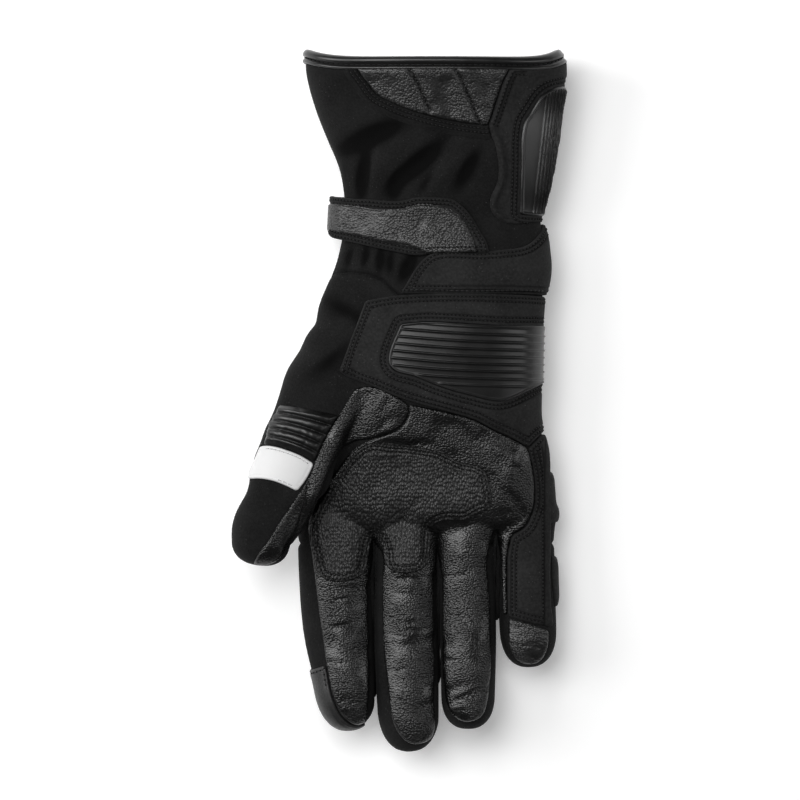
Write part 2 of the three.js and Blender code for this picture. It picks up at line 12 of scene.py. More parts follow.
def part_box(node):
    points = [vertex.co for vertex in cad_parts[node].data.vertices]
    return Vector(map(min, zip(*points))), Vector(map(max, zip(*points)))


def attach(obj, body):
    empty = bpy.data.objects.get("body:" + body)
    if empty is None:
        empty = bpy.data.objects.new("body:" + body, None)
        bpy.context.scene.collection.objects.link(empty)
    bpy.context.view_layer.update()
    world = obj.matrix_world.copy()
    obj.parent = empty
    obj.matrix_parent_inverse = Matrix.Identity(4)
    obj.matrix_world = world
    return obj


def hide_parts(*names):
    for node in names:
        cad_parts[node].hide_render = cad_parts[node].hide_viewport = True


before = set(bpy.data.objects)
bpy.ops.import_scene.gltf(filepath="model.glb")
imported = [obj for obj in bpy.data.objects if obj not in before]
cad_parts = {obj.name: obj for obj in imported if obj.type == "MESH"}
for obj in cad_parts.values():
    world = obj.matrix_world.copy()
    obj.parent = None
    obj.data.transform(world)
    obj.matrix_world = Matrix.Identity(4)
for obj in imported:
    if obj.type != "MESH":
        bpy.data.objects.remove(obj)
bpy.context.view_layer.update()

# Softshell tubes: cuff, hand and digits
# The real ones are stretch softshell over a membrane, insulation and a soft lining, cut as
# panels and sewn into one hollow form. The other panels are sewn on top of this form.
MM = 0.001
CUFF_RIGHT, CUFF_LOW = 77.2, 54.15  # where the cuff's tube ends, from the palm's own zero
cuff_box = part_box("cuff_shell")
OFF_CENTRE = np.array([cuff_box[1][0] / MM - CUFF_RIGHT, cuff_box[0][1] / MM - CUFF_LOW, 0])
SKIN_VOXEL = 1.24
WALL = 2.4
SEAM_DEPTH, SEAM_WIDTH = 1.1, 1.1  # how far a seam of the softshell is drawn in
PALM_SIDE_Z = (20, 30)  # the folds and creases fade out below, towards the sides
RIM_Y = 159.8
WRIST_SEAM_Y = 54.0
FINGER_SEAM_Y = -68.0

# y, left, right, floor, height, and how far the sides run on towards the arm
BODY_ROWS = [
    (159.8, -43.4, 73.6, 2.8, 48.0, 2.8),
    (153.5, -44.6, 77.2, 2.8, 48.0, 3.0),
    (146.0, -43.3, 76.0, 1.0, 48.0, 1.8),
    (134.0, -39.5, 73.7, 0.0, 46.0, 0.8),
    (121.0, -34.0, 72.1, 0.0, 44.5, 0.0),
    (109.0, -29.0, 70.2, 0.3, 42.5, 0.0),
    (98.0, -26.8, 68.0, 2.6, 38.0, 0.0),
    (86.0, -26.2, 65.6, 2.6, 35.5, 0.0),
    (74.0, -27.8, 67.9, 2.6, 35.0, 0.0),
    (62.0, -30.8, 68.5, 2.6, 36.0, 0.0),
    (52.0, -35.2, 67.5, 2.6, 37.0, 0.0),
    (42.0, -38.8, 65.8, 2.2, 38.6, 0.0),
    (26.0, -40.4, 65.2, 0.0, 42.0, 0.0),
    (8.0, -41.0, 64.8, 0.0, 41.0, 0.0),
    (-10.0, -41.6, 64.8, 0.0, 39.0, 0.0),
    (-24.0, -43.0, 69.2, 0.0, 37.0, 0.0),
    (-38.0, -45.0, 70.9, 0.0, 35.0, 0.0),
    (-52.0, -47.2, 71.8, 0.2, 32.0, 0.0),
    (-60.0, -47.4, 71.4, 2.0, 25.5, 0.0),
    (-65.0, -44.0, 68.0, 6.0, 15.0, 0.0),
]
# centre x, y, z, width and thickness of each digit, from its root to its last full row
DIGIT_ROWS = {
    "index": [(-30.0, -40, 15.5, 26, 20), (-30.5, -60, 15.6, 35, 28.6), (-30.3, -86, 16.2, 35, 29),
              (-29.0, -110, 19.0, 33, 28), (-25.9, -133, 22.0, 28.2, 26)],
    "middle": [(2.2, -40, 15.5, 22, 20), (2.3, -62, 15.8, 28.6, 28.6), (2.5, -90, 17.0, 29.4, 29),
               (2.9, -118, 20.2, 30, 28), (3.7, -143, 24.0, 29.6, 26)],
    "ring": [(30.6, -40, 15.0, 20, 19), (30.8, -60, 15.4, 27, 27.6), (31.3, -88, 16.6, 27, 28),
             (31.8, -114, 19.6, 26.6, 27), (31.7, -139, 23.2, 25.4, 25)],
    "little": [(56.6, -36, 14.5, 20, 17), (58.5, -58, 14.2, 27, 25.6), (59.1, -84, 15.0, 27.4, 26),
               (60.0, -108, 18.2, 27, 24.5)],
    "thumb": [(-13.6, 30, 19.5, 42.8, 33), (-28.2, 12, 22.0, 48.2, 36), (-38.8, -8, 26.0, 40.8, 35),
              (-47.6, -27, 31.0, 33.8, 31), (-56.0, -45, 35.0, 29, 29), (-63.3, -59, 37.2, 29.4, 28.5),
              (-64.8, -66, 37.8, 27.6, 27.5)],
}
TIP_LENGTH = {"index": 22, "middle": 22.5, "ring": 16, "little": 18.5, "thumb": 11.6}
# Soft ridges and dents on the palm side: x, y, direction, half length, half width, height
BODY_FOLDS = [
    (12, -32, 0, 26, 16, -2.4), (52, -38, 85, 20, 9, 1.6), (-10, -6, 55, 22, 10, 1.4),
    (28, -14, -18, 22, 6, -1.2), (-14, 121.5, 22, 15, 4.4, -3.2), (-17, 104, 82, 9, 3.0, -3.8),
    (-11.5, 107, 78, 9, 2.6, 1.6), (8.5, 109.5, 40, 16, 3.8, -3.6), (-2.5, 99, 80, 6, 2.8, -2.2),
    (12, 100, 55, 7, 2.6, -1.5), (31, 106.5, 60, 10, 3.4, -2.2), (-5, 111, 60, 10, 4, 1.5),
    (19.5, 104, 45, 12, 3.4, 1.4), (24, 118, 12, 12, 4, 0.9), (-29, 100, 70, 9, 3, -1.6),
    (-24, 66, 76, 5, 1.9, -1.8), (-20.5, 66, 76, 5, 1.8, 1.2), (-16.5, 66.5, 80, 5, 1.9, -1.9),
    (-9.5, 65, 84, 6, 2.1, -2.1), (-4.8, 63.5, 86, 6, 2, -1.6), (3.5, 61.5, 62, 7, 3, -2.6),
    (-24, 40, -30, 16, 4, -1.5), (-30, 30, 50, 12, 4, 1.0), (-33, 18, 40, 12, 4, -1.3),
]
BROAD_FOLDS = 4  # the first folds are too broad to look creased
RIM_DROP = 2.9
DROP_REACH = (16, 3)  # where the drop starts and is full, from the rim
DROP_Z = (24, 50)
SIDE_RISE_POWER = {"left": 5, "right": 9}
LEAST_Z = 0.02
# While the tubes are melted together the digits stand apart, so that they don't fuse.
SPREAD = {"index": -5.0, "middle": -1.7, "ring": 1.7, "little": 5.0}
SPREAD_GAPS = [-15.9, 17.45, 48.45]
GAP_WIDTH = 3.0
SPREAD_Y = (-66.0, -50.0)
THUMB_SPREAD = -6.0
THUMB_SPREAD_Y = (-46.0, -24.0)
# The thumb and the index finger part at a slanting plane, this far out by y
THUMB_GAP_Y, THUMB_GAP = [-59, -45, -30], [57, 51.3, 47]
THUMB_LEAST_Y = -82
# The thumb's outer side is hollow at its root and full over its knuckle: y, half width, step
THUMB_SIDE = [(24.5, 8.0, 2.9), (-17.5, 8.5, -2.4)]
THUMB_SIDE_X = (-38, -54)


def smooth_step(low, high, value):
    t = np.clip((value - low) / (high - low), 0, 1)
    return t * t * (3 - 2 * t)


def smooth_rows(rows, steps):
    """Rows between the given ones, on a curve through them."""
    rows = np.array(rows, float)
    last = len(rows) - 1
    t = np.linspace(0, last, last * steps + 1)
    i = np.minimum(t.astype(int), last - 1)
    f = (t - i)[:, None]
    before, here, after = rows[np.maximum(i - 1, 0)], rows[i], rows[i + 1]
    beyond = rows[np.minimum(i + 2, last)]
    bend = (2 * before - 5 * here + 4 * after - beyond) * f**2
    twist = (3 * here - before - 3 * after + beyond) * f**3
    return 0.5 * (2 * here + (after - before) * f + bend + twist)


def fold_height(folds, x, y):
    total = np.zeros(np.broadcast(x, y).shape)
    for fold_x, fold_y, direction, along, across, height in folds:
        turn = math.radians(direction)
        dx, dy = x - fold_x, y - fold_y
        u = (dx * math.cos(turn) + dy * math.sin(turn)) / along
        v = (dy * math.cos(turn) - dx * math.sin(turn)) / across
        total = total + height * np.exp(-u * u - v * v)
    return total


def bent(value, exponent):
    return np.sign(value) * np.abs(value) ** (2 / exponent)


body_curve = smooth_rows(BODY_ROWS, 8)[::-1]


def body_points(y, angle, curve=body_curve, folds=BODY_FOLDS):
    """Points on the cuff and hand tube: angle 0 is its right edge and 90 degrees its top."""
    y, angle = np.broadcast_arrays(np.asarray(y, float), np.asarray(angle, float))
    left, right, floor, height = (np.interp(y, curve[:, 0], curve[:, k]) for k in range(1, 5))
    c, s = bent(np.cos(angle), 2.5), bent(np.sin(angle), 2.5)
    x = (left + right) / 2 + (right - left) / 2 * c
    widest, flattened = 0.46, 1.14
    z = widest * height + np.where(s > 0, (1 - widest) * height, widest * height * flattened) * s
    z = z + np.where(s > 0, s, 0) * fold_height(folds, x, y)
    softness = 1.2
    z = floor + 0.5 * (z + np.sqrt(z**2 + softness))
    return np.stack([x, y, z], -1)


def tube(rings):
    """A closed tube from rings of points, with a fan of triangles over each end."""
    rows, around = rings.shape[:2]
    points = np.concatenate([rings.reshape(-1, 3), [rings[0].mean(0)], [rings[-1].mean(0)]])
    k = np.arange(around)
    after = (k + 1) % around
    faces = []
    for r in range(rows - 1):
        a, b = r * around + k, r * around + after
        faces += np.stack([a, b, b + around, a + around], 1).tolist()
    top = (rows - 1) * around
    faces += np.stack([np.full(around, rows * around), after, k], 1).tolist()
    faces += np.stack([np.full(around, rows * around + 1), top + k, top + after], 1).tolist()
    return points, faces


def digit_tube(name):
    rows = smooth_rows(DIGIT_ROWS[name], 7)
    centres = rows[:, :3].copy()
    shift, (low, high) = SPREAD.get(name, THUMB_SPREAD), SPREAD_Y if name in SPREAD else THUMB_SPREAD_Y
    centres[:, 0] += shift * (1 - smooth_step(low, high, centres[:, 1]))
    tangents = np.gradient(centres, axis=0)
    tangents /= np.linalg.norm(tangents, axis=1, keepdims=True)
    widths, thicks = rows[:, 3] / 2, rows[:, 4] / 2
    end, heading = centres[-1], tangents[-1]
    fullness = 2.3
    for share in (0.2, 0.4, 0.55, 0.68, 0.78, 0.86, 0.92, 0.965, 0.99):
        narrow = (1 - share**fullness) ** (1 / fullness)
        centres = np.vstack([centres, end + heading * share * TIP_LENGTH[name]])
        tangents = np.vstack([tangents, heading])
        widths = np.append(widths, rows[-1, 3] / 2 * narrow)
        thicks = np.append(thicks, rows[-1, 4] / 2 * narrow)
    side = np.cross([0, 0, 1], tangents)
    side /= np.linalg.norm(side, axis=1, keepdims=True)
    over = np.cross(tangents, side)
    angle = np.linspace(0, 2 * math.pi, 44, endpoint=False)
    across = side[:, None] * (widths[:, None] * bent(np.cos(angle), 2.25))[..., None]
    upwards = over[:, None] * (thicks[:, None] * bent(np.sin(angle), 2.25))[..., None]
    return tube(centres[:, None] + across + upwards)


def mesh_of(name, points, faces):
    """A mesh in the frame, in metres, from points in the palm's own millimetres."""
    mesh = bpy.data.meshes.new(name)
    mesh.from_pydata(((np.asarray(points) + OFF_CENTRE) * MM).tolist(), [], faces)
    mesh.update()
    return mesh


def place(name, data):
    piece = bpy.data.objects.new(name, data)
    bpy.context.scene.collection.objects.link(piece)
    return piece


def points_of(mesh):
    points = np.empty(len(mesh.vertices) * 3)
    mesh.vertices.foreach_get("co", points)
    return points.reshape(-1, 3) / MM - OFF_CENTRE


def quads_of(mesh):
    corners = np.empty(len(mesh.loops), int)
    mesh.loops.foreach_get("vertex_index", corners)
    if len(corners) != 4 * len(mesh.polygons):
        raise ValueError("a face isn't a quad")
    return corners.reshape(-1, 4)


def modified(name, points, faces, kind, **settings):
    """Points and quads after one modifier."""
    piece = place(name, mesh_of(name, points, faces))
    modifier = piece.modifiers.new(kind.lower(), kind)
    for key, value in settings.items():
        setattr(modifier, key, value)
    graph = bpy.context.evaluated_depsgraph_get()
    done = bpy.data.meshes.new_from_object(piece.evaluated_get(graph))
    result = points_of(done), quads_of(done)
    bpy.data.objects.remove(piece)
    bpy.data.meshes.remove(done)
    return result


def normals_at(points, quads):
    """Unit normals at the points, from the faces round each."""
    a, b, c, d = (points[quads[:, k]] for k in range(4))
    faces = np.cross(c - a, d - b)
    normals = np.stack([sum(np.bincount(quads[:, k], faces[:, axis], len(points)) for k in range(4))
                        for axis in range(3)], 1)
    return normals / np.maximum(np.linalg.norm(normals, axis=1, keepdims=True), 1e-9)


def relaxed(values, quads, turns, fixed=None):
    """Each point's values drawn halfway to the mean of its neighbours', a number of times."""
    pairs = np.concatenate([quads[:, [k, (k + 1) % 4]] for k in range(4)])
    pairs = pairs[pairs[:, 0] != pairs[:, 1]]
    pairs = np.concatenate([pairs, pairs[:, ::-1]])
    counts = np.maximum(np.bincount(pairs[:, 0], minlength=len(values)), 1)[:, None]
    for _ in range(turns):
        sums = [np.bincount(pairs[:, 0], column[pairs[:, 1]], len(values)) for column in values.T]
        moved = values + 0.5 * (np.stack(sums, 1) / counts - values)
        values = moved if fixed is None else np.where(fixed[:, None], values, moved)
    return values


def compact(points, faces, *others):
    """Only the points that the faces use, with anything else that is kept for each point."""
    used = np.unique(faces)
    renumbered = np.full(len(points), -1)
    renumbered[used] = np.arange(len(used))
    return points[used], renumbered[faces], *(other[used] for other in others)


def trimmed(points, quads, depth, *others):
    """The part of a surface where depth is above zero, with its edge moved to depth zero.

    A corner cut leaves a triangle, which is kept as a quad with its last point twice."""
    pairs = np.concatenate([quads[:, [k, (k + 1) % 4]] for k in range(4)])
    a, b = pairs[(depth[pairs[:, 0]] > 0) & (depth[pairs[:, 1]] <= 0)].T
    share = depth[a] / (depth[a] - depth[b])
    crossing = points[a] + share[:, None] * (points[b] - points[a])
    mover = np.where(share < 0.5, a, b)
    how_far = np.where(share < 0.5, share, 1 - share)
    order = np.argsort(-how_far, kind="stable")
    points, depth = points.copy(), depth.copy()
    points[mover[order]] = crossing[order]
    depth[mover] = 0
    kept = depth[quads]
    whole = quads[(kept >= 0).all(1) & (kept > 0).any(1)]
    corners = []
    for k in range(4):
        turned, levels = np.roll(quads, -k, 1), np.roll(kept, -k, 1)
        half = (levels[:, 0] < 0) & (levels[:, 2] > 0) & (levels[:, 1] == 0) & (levels[:, 3] == 0)
        corners.append(turned[half][:, [1, 2, 3, 3]])
    return compact(points, np.concatenate([whole] + corners), depth, *others)


def border_of(faces):
    """The directed edges on the border, in the order of their faces."""
    pairs = np.concatenate([faces[:, [k, (k + 1) % 4]] for k in range(4)])
    pairs = pairs[pairs[:, 0] != pairs[:, 1]]
    size = faces.max() + 1
    forward, backward = pairs[:, 0] * size + pairs[:, 1], pairs[:, 1] * size + pairs[:, 0]
    return pairs[~np.isin(forward, backward)]


def walled(top, under, faces):
    """A closed body between a surface and its underside, joined along their border."""
    shift = len(top)
    border = border_of(faces)
    rim = np.stack([border[:, 1], border[:, 0], border[:, 0] + shift, border[:, 1] + shift], 1)
    flipped = faces[:, ::-1] + shift
    return np.concatenate([top, under]), np.concatenate([faces, flipped, rim])


def face_list(faces):
    """Faces for a mesh, with each point that stands twice in a face taken once."""
    twice_end = faces[:, 2] == faces[:, 3]
    twice_start = faces[:, 0] == faces[:, 1]
    plain = faces[~twice_end & ~twice_start].tolist()
    return plain + faces[twice_end][:, :3].tolist() + faces[twice_start][:, 1:].tolist()


def digit_shift(points):
    """How far each point stands aside, as the digits were spread."""
    x, y, z = points.T
    shift = np.full(len(points), SPREAD["index"])
    for gap, side in zip(SPREAD_GAPS, ("middle", "ring", "little")):
        share = smooth_step(gap - GAP_WIDTH / 2, gap + GAP_WIDTH / 2, x)
        shift = shift * (1 - share) + SPREAD[side] * share
    shift *= 1 - smooth_step(*SPREAD_Y, y)
    past_gap = -0.75 * x + 0.66 * z - np.interp(y, THUMB_GAP_Y, THUMB_GAP)
    thumb = smooth_step(-GAP_WIDTH / 2, GAP_WIDTH / 2, past_gap) * (y > THUMB_LEAST_Y)
    moved = THUMB_SPREAD * (1 - smooth_step(*THUMB_SPREAD_Y, y))
    return shift * (1 - thumb) + moved * thumb


# rings of the hand's tube, from past the rim to the roots of the fingers
RING_PITCH, LAST_RING_Y, RING_POINTS = 1.6, -65.0, 112
ring_y = np.append(np.arange(RIM_Y + 6, LAST_RING_Y + 0.1, -RING_PITCH), LAST_RING_Y)[:, None]
rings = body_points(ring_y, np.linspace(0, 2 * math.pi, RING_POINTS, endpoint=False))
tubes = [tube(rings)] + [digit_tube(name) for name in DIGIT_ROWS]
starts = np.cumsum([0] + [len(points) for points, _ in tubes])
tube_points = np.concatenate([points for points, _ in tubes])
tube_faces = [[k + start for k in face] for (_, faces), start in zip(tubes, starts) for face in faces]
skin, skin_quads = modified("tubes", tube_points, tube_faces, "REMESH", mode="VOXEL",
                            voxel_size=SKIN_VOXEL * MM)
skin = relaxed(skin, skin_quads, 6)
skin[:, 0] -= digit_shift(skin)
for centre, width, step in THUMB_SIDE:
    on_side = smooth_step(*THUMB_SIDE_X, skin[:, 0])
    skin[:, 0] += step * np.exp(-(((skin[:, 1] - centre) / width) ** 2)) * on_side
skin = relaxed(skin, skin_quads, 2)


def with_rise(points):
    """The rim's sides run on a little towards the arm, its palm side hangs, and the back lies flat."""
    left, right, rise = (np.interp(points[:, 1], body_curve[:, 0], body_curve[:, k]) for k in (1, 2, 5))
    across = np.abs(2 * points[:, 0] - left - right) / (right - left)
    lifted = points.copy()
    on_right = points[:, 0] > (left + right) / 2
    power = np.where(on_right, SIDE_RISE_POWER["right"], SIDE_RISE_POWER["left"])
    lifted[:, 1] += rise * np.minimum(across, 1) ** power
    near_rim = smooth_step(RIM_Y - DROP_REACH[0], RIM_Y - DROP_REACH[1], points[:, 1])
    lifted[:, 1] -= RIM_DROP * near_rim * smooth_step(*DROP_Z, points[:, 2])
    lifted[:, 2] = np.maximum(lifted[:, 2], LEAST_Z)
    return lifted


hand_and_cuff, hand_faces, _ = trimmed(skin, skin_quads, RIM_Y - skin[:, 1])


class Wire:
    """A socket of a finish, so that maths on it can be written as an expression."""

    def __init__(self, finish, socket):
        self.finish, self.socket = finish, socket

    def maths(self, operation, *others, swapped=False):
        values = [self, *others][::-1] if swapped else [self, *others]
        return self.finish.wire("ShaderNodeMath", {"operation": operation}, dict(enumerate(values)))

    def __add__(self, other):
        return self.maths("ADD", other)

    def __mul__(self, other):
        return self.maths("MULTIPLY", other)

    __radd__, __rmul__ = __add__, __mul__

    def __sub__(self, other):
        return self.maths("SUBTRACT", other)

    def __rsub__(self, other):
        return self.maths("SUBTRACT", other, swapped=True)

    def clamped(self, low, high):
        """0 below the low value and 1 above the high one, with soft ends."""
        inputs = {"Value": self, "From Min": low, "From Max": high}
        return self.finish.wire("ShaderNodeMapRange", {"interpolation_type": "SMOOTHSTEP"}, inputs)


class Finish:
    """A node-based material; uniform values go to the shader, varying ones through wires."""

    def __init__(self, name, **uniform):
        self.material = bpy.data.materials.new(name)
        self.material.use_nodes = True
        self.nodes, self.links = self.material.node_tree.nodes, self.material.node_tree.links
        self.nodes.clear()
        named = {key.replace("_", " ").title().replace("Ior", "IOR"): value
                 for key, value in uniform.items()}
        self.shader = self.node("ShaderNodeBsdfPrincipled", {}, named)
        output = self.nodes.new("ShaderNodeOutputMaterial")
        self.links.new(self.shader.outputs["BSDF"], output.inputs["Surface"])
        self.place = self.wire("ShaderNodeTexCoord", output="Object")

    def node(self, kind, settings=None, inputs=None):
        node = self.nodes.new(kind)
        for key, value in (settings or {}).items():
            setattr(node, key, value)
        for key, value in (inputs or {}).items():
            if isinstance(value, Wire):
                self.links.new(value.socket, node.inputs[key])
            else:
                node.inputs[key].default_value = value
        return node

    def wire(self, kind, settings=None, inputs=None, output=0):
        return Wire(self, self.node(kind, settings, inputs).outputs[output])

    def scaled(self, x, y, z):
        """Object coordinates in steps of so many millimetres."""
        factors = (1 / (x * MM), 1 / (y * MM), 1 / (z * MM))
        return self.wire("ShaderNodeVectorMath", {"operation": "MULTIPLY"}, {0: self.place, 1: factors})

    def noise(self, size, detail=2.0, vector=None):
        inputs = {"Vector": vector or self.scaled(size, size, size), "Scale": 1.0, "Detail": detail}
        return self.wire("ShaderNodeTexNoise", {}, inputs, "Fac")

    def cells(self, size, vector=None, randomness=1.0):
        inputs = {"Vector": vector or self.scaled(size, size, size), "Scale": 1.0, "Randomness": randomness}
        return self.wire("ShaderNodeTexVoronoi", {}, inputs, "Distance")

    def painted(self, name):
        """A value that the mesh carries at its points."""
        return self.wire("ShaderNodeAttribute", {"attribute_name": name}, {}, "Fac")

    def blend(self, share, first, second):
        mixed = self.node("ShaderNodeMix", {"data_type": "RGBA"}, {"Factor": share})
        for key, colour in ((6, first), (7, second)):
            if isinstance(colour, Wire):
                self.links.new(colour.socket, mixed.inputs[key])
            else:
                mixed.inputs[key].default_value = (*colour, 1)
        return Wire(self, mixed.outputs[2])

    def set(self, **wires):
        for key, value in wires.items():
            self.links.new(value.socket, self.shader.inputs[key.replace("_", " ").title()])

    def relief(self, height, strength, depth):
        """Bump from a height that runs from 0 to 1 over so many millimetres."""
        inputs = {"Height": height, "Strength": strength, "Distance": depth * MM}
        self.set(normal=self.wire("ShaderNodeBump", {}, inputs, "Normal"))


def grey(level, warmth=0.0):
    """A linear colour from a screen grey between 0 and 255."""
    value = (level / 255) ** 2.2
    return (value * (1 + warmth), value, value * (1 - warmth))


# painted shade: sewn-in rows, grooves and the softshell's creases are darkened towards this grey
PAINTED_SHADE_GREY, PAINTED_SHADE_SHARE = 2, 0.85  # every seam that is sewn in looks this dark


def softshell_finish():
    cloth = Finish("softshell", roughness=0.9, specular_ior_level=0.1, sheen_weight=0.02,
                   sheen_roughness=0.5)
    broad, mottle, fine = cloth.noise(24, 3), cloth.noise(0.9, 2), cloth.noise(0.5, 2)
    specks = cloth.cells(1.7).clamped(0.16, 0.08) * cloth.noise(5, 1).clamped(0.46, 0.6)
    tone = broad.clamped(0.3, 0.7) * 0.35 + mottle.clamped(0.3, 0.7) * 0.35 + 0.3
    coloured = cloth.blend(specks * 0.35, cloth.blend(tone, grey(6), grey(35)), grey(90))
    # painted shade: the fold valleys and seams of the tubes, and their sewn-in rows, are darkened towards
    # near black
    shaded = cloth.blend(cloth.painted("painted_crease_shade"), coloured, grey(PAINTED_SHADE_GREY))
    cloth.set(base_color=cloth.blend(cloth.painted("pull_and_painted_shade") * PAINTED_SHADE_SHARE, shaded, grey(PAINTED_SHADE_GREY)))
    knit = cloth.wire("ShaderNodeTexWave", {"bands_direction": "DIAGONAL"},
                      {"Vector": cloth.scaled(1, 1, 1), "Scale": 0.42, "Distortion": 1.5, "Detail": 2.0},
                      "Fac")
    cloth.relief(knit * 0.3 + fine * 0.4 + mottle * 0.4 + specks * 0.4, 0.8, 0.22)
    return cloth.material


def lining_finish():
    fleece = Finish("fleece_lining", roughness=1.0, specular_ior_level=0.1, sheen_weight=0.25)
    tufts = fleece.noise(1.6, 4)
    fleece.set(base_color=fleece.blend(tufts, grey(30), grey(58)))
    fleece.relief(tufts + fleece.cells(2.2) * 0.5, 0.8, 0.5)
    return fleece.material


finish_softshell, finish_lining = softshell_finish(), lining_finish()


def paint(mesh, name, values):
    """Values at the points of a mesh, for its finish to read."""
    mesh.attributes.new(name, "FLOAT", "POINT").data.foreach_set("value", values.astype(np.float32))


def corners_of(mesh):
    """The points at the first three corners of each face."""
    starts, index = np.empty(len(mesh.polygons), int), np.empty(len(mesh.loops), int)
    mesh.polygons.foreach_get("loop_start", starts)
    mesh.loops.foreach_get("vertex_index", index)
    return index[starts[:, None] + np.arange(3)]


def dressed(name, points, faces, finishes, nodes=(), painted=None, part_of=None):
    """A finished piece; painted holds values for its first points, and part_of tells which of
    its finishes each face has."""
    mesh = mesh_of(name, points, face_list(faces))
    mesh.shade_smooth()
    for finish in finishes:
        mesh.materials.append(finish)
    for key, values in (painted or {}).items():
        paint(mesh, key, np.append(values, np.zeros(len(points) - len(values))))
    if part_of is not None:
        mesh.polygons.foreach_set("material_index", part_of(mesh).astype(np.int32))
    piece = place(name, mesh)
    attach(piece, "root")
    if nodes:
        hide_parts(*nodes)
    return piece


def softshell_tube(name, keep, nodes, from_seam):
    """One tube of the softshell, as a wall with its lining inwards and its seams drawn in."""
    points, faces, _, normals, from_seam = trimmed(
        hand_and_cuff, hand_faces, keep, skin_normals, from_seam[:, None])
    outer = with_rise(points - normals * (SEAM_DEPTH * np.exp(-((from_seam / SEAM_WIDTH) ** 2))))
    on_border = np.isin(np.arange(len(points)), border_of(faces))
    inner = with_rise(relaxed(points - normals * WALL, faces, 3, fixed=on_border))
    body, body_faces = walled(outer, inner, faces)

    def lining_faces(mesh):
        return (corners_of(mesh) >= len(points)).any(1)

    # painted shade for the finish: darker in the valleys of the folds and along the seams between the tubes
    fold = fold_height(BODY_FOLDS[BROAD_FOLDS:], points[:, 0], points[:, 1])
    fold *= smooth_step(*PALM_SIDE_Z, points[:, 2])
    darkest = 0.93
    painted_crease_shade = np.clip(-0.75 * fold, 0, darkest) + 0.5 * np.exp(-(from_seam[:, 0] ** 2))
    piece = dressed(name, body, body_faces, [finish_softshell, finish_lining], nodes,
                    {"painted_crease_shade": painted_crease_shade}, lining_faces)


skin_normals = normals_at(hand_and_cuff, hand_faces)
skin_x, skin_y, skin_z = hand_and_cuff.T
# the thumb's tip reaches past the finger seam, left of a line that leans with height
THUMB_LINE_Z, THUMB_LINE_X = [18, 40], [-54, -44]
THUMB_LEAST_Z = 19
on_thumb = (skin_x < np.interp(skin_z, THUMB_LINE_Z, THUMB_LINE_X)) & (skin_y > THUMB_LEAST_Y - 2)
on_thumb &= skin_z > THUMB_LEAST_Z
SEAM_BEND_X, SEAM_BEND = [-40, -22, -14, -8, -4, 0], [5.5, 5.3, 4, 1.5, -2.5, -6]
SEAM_BEND_Z = (15, 24)
seam_y = WRIST_SEAM_Y + np.interp(skin_x, SEAM_BEND_X, SEAM_BEND) * smooth_step(*SEAM_BEND_Z, skin_z)
above_wrist = skin_y - seam_y
past_finger_seam = np.where(on_thumb, -9.0, FINGER_SEAM_Y - skin_y)
softshell_tube("cuff_softshell", above_wrist, ["cuff_shell"], above_wrist)
softshell_tube("hand_softshell", np.minimum(-above_wrist, -past_finger_seam),
               ["hand_shell", "thumb_shell"], np.minimum(np.abs(above_wrist), np.abs(past_finger_seam)))
softshell_tube("finger_softshell", past_finger_seam,
               ["index_shell", "middle_shell", "ring_shell", "little_shell"], past_finger_seam)

# Rim binding
# A strip of smooth leatherette folded over the cuff's edge and sewn through a groove, so
# that it stands as a big roll on the edge and a small one below the stitches.
RIM_AROUND = 300
# steps out from the wall's outside and past the rim, round the folded strip
BINDING_SECTION = [
    (0.1, -5.3), (0.6, -5.5), (1.1, -5.2), (1.35, -4.6), (1.3, -4.0), (0.95, -3.45), (0.6, -3.2),
    (0.45, -2.9), (0.6, -2.65), (1.2, -2.4), (1.8, -1.8), (2.1, -1.0), (2.0, -0.1), (1.5, 0.6),
    (0.6, 1.05), (-0.6, 1.2), (-2.0, 1.1), (-3.2, 0.8), (-3.9, 0.1), (-4.1, -1.1), (-3.9, -2.5),
    (-4.1, -3.8), (-4.1, -4.9), (-3.5, -5.5), (-2.6, -5.3), (-2.5, -4.0), (-2.4, -0.5), (-1.2, 0.0),
    (-0.1, -0.4), (0.0, -2.5),
]


def binding_finish():
    strip = Finish("smooth_binding", specular_ior_level=0.5)
    wear, fine = strip.noise(6, 3), strip.noise(0.5, 2)
    strip.set(base_color=strip.blend(wear, grey(16), grey(28)), roughness=wear * 0.2 + 0.22)
    strip.relief(fine * 0.6 + strip.noise(2.5, 2) * 0.8, 0.35, 0.12)
    return strip.material


def on_rim(angle, out, past):
    """Points by their angle round the rim and their steps out from and past it."""
    rim = body_points(RIM_Y, angle)
    away = np.cross([0, 1.0, 0], body_points(RIM_Y, angle + 0.01) - rim)
    away /= np.linalg.norm(away, axis=1, keepdims=True)
    points = with_rise(body_points(RIM_Y + min(past, 0), angle) + away * out)
    points[:, 1] += max(past, 0)
    return points, away


rim_angle = np.linspace(0, 2 * math.pi, RIM_AROUND, endpoint=False)
binding = np.array([on_rim(rim_angle, out, past)[0] for out, past in BINDING_SECTION])
# the stitches draw the groove in unevenly
GROOVE_ROWS = slice(5, 9)
ripple = 0.072 * np.sin(rim_angle * 61) + 0.048 * np.sin(rim_angle * 23 + 1)
binding[GROOVE_ROWS] -= ripple[:, None] * on_rim(rim_angle, 0, 0)[1]


def net_faces(rows, around, closed=False):
    """Faces between rings of points, each of which joins up with the next one."""
    k, r = np.meshgrid(np.arange(around), np.arange(rows if closed else rows - 1))
    after, below = (k + 1) % around, (r + 1) % rows
    corners = [r * around + k, below * around + k, below * around + after, r * around + after]
    return np.stack(corners, -1).reshape(-1, 4)


binding_faces = net_faces(len(BINDING_SECTION), RIM_AROUND, closed=True)
piece = dressed("binding_roll", binding.reshape(-1, 3), binding_faces, [binding_finish()],
                ["rim_binding"])

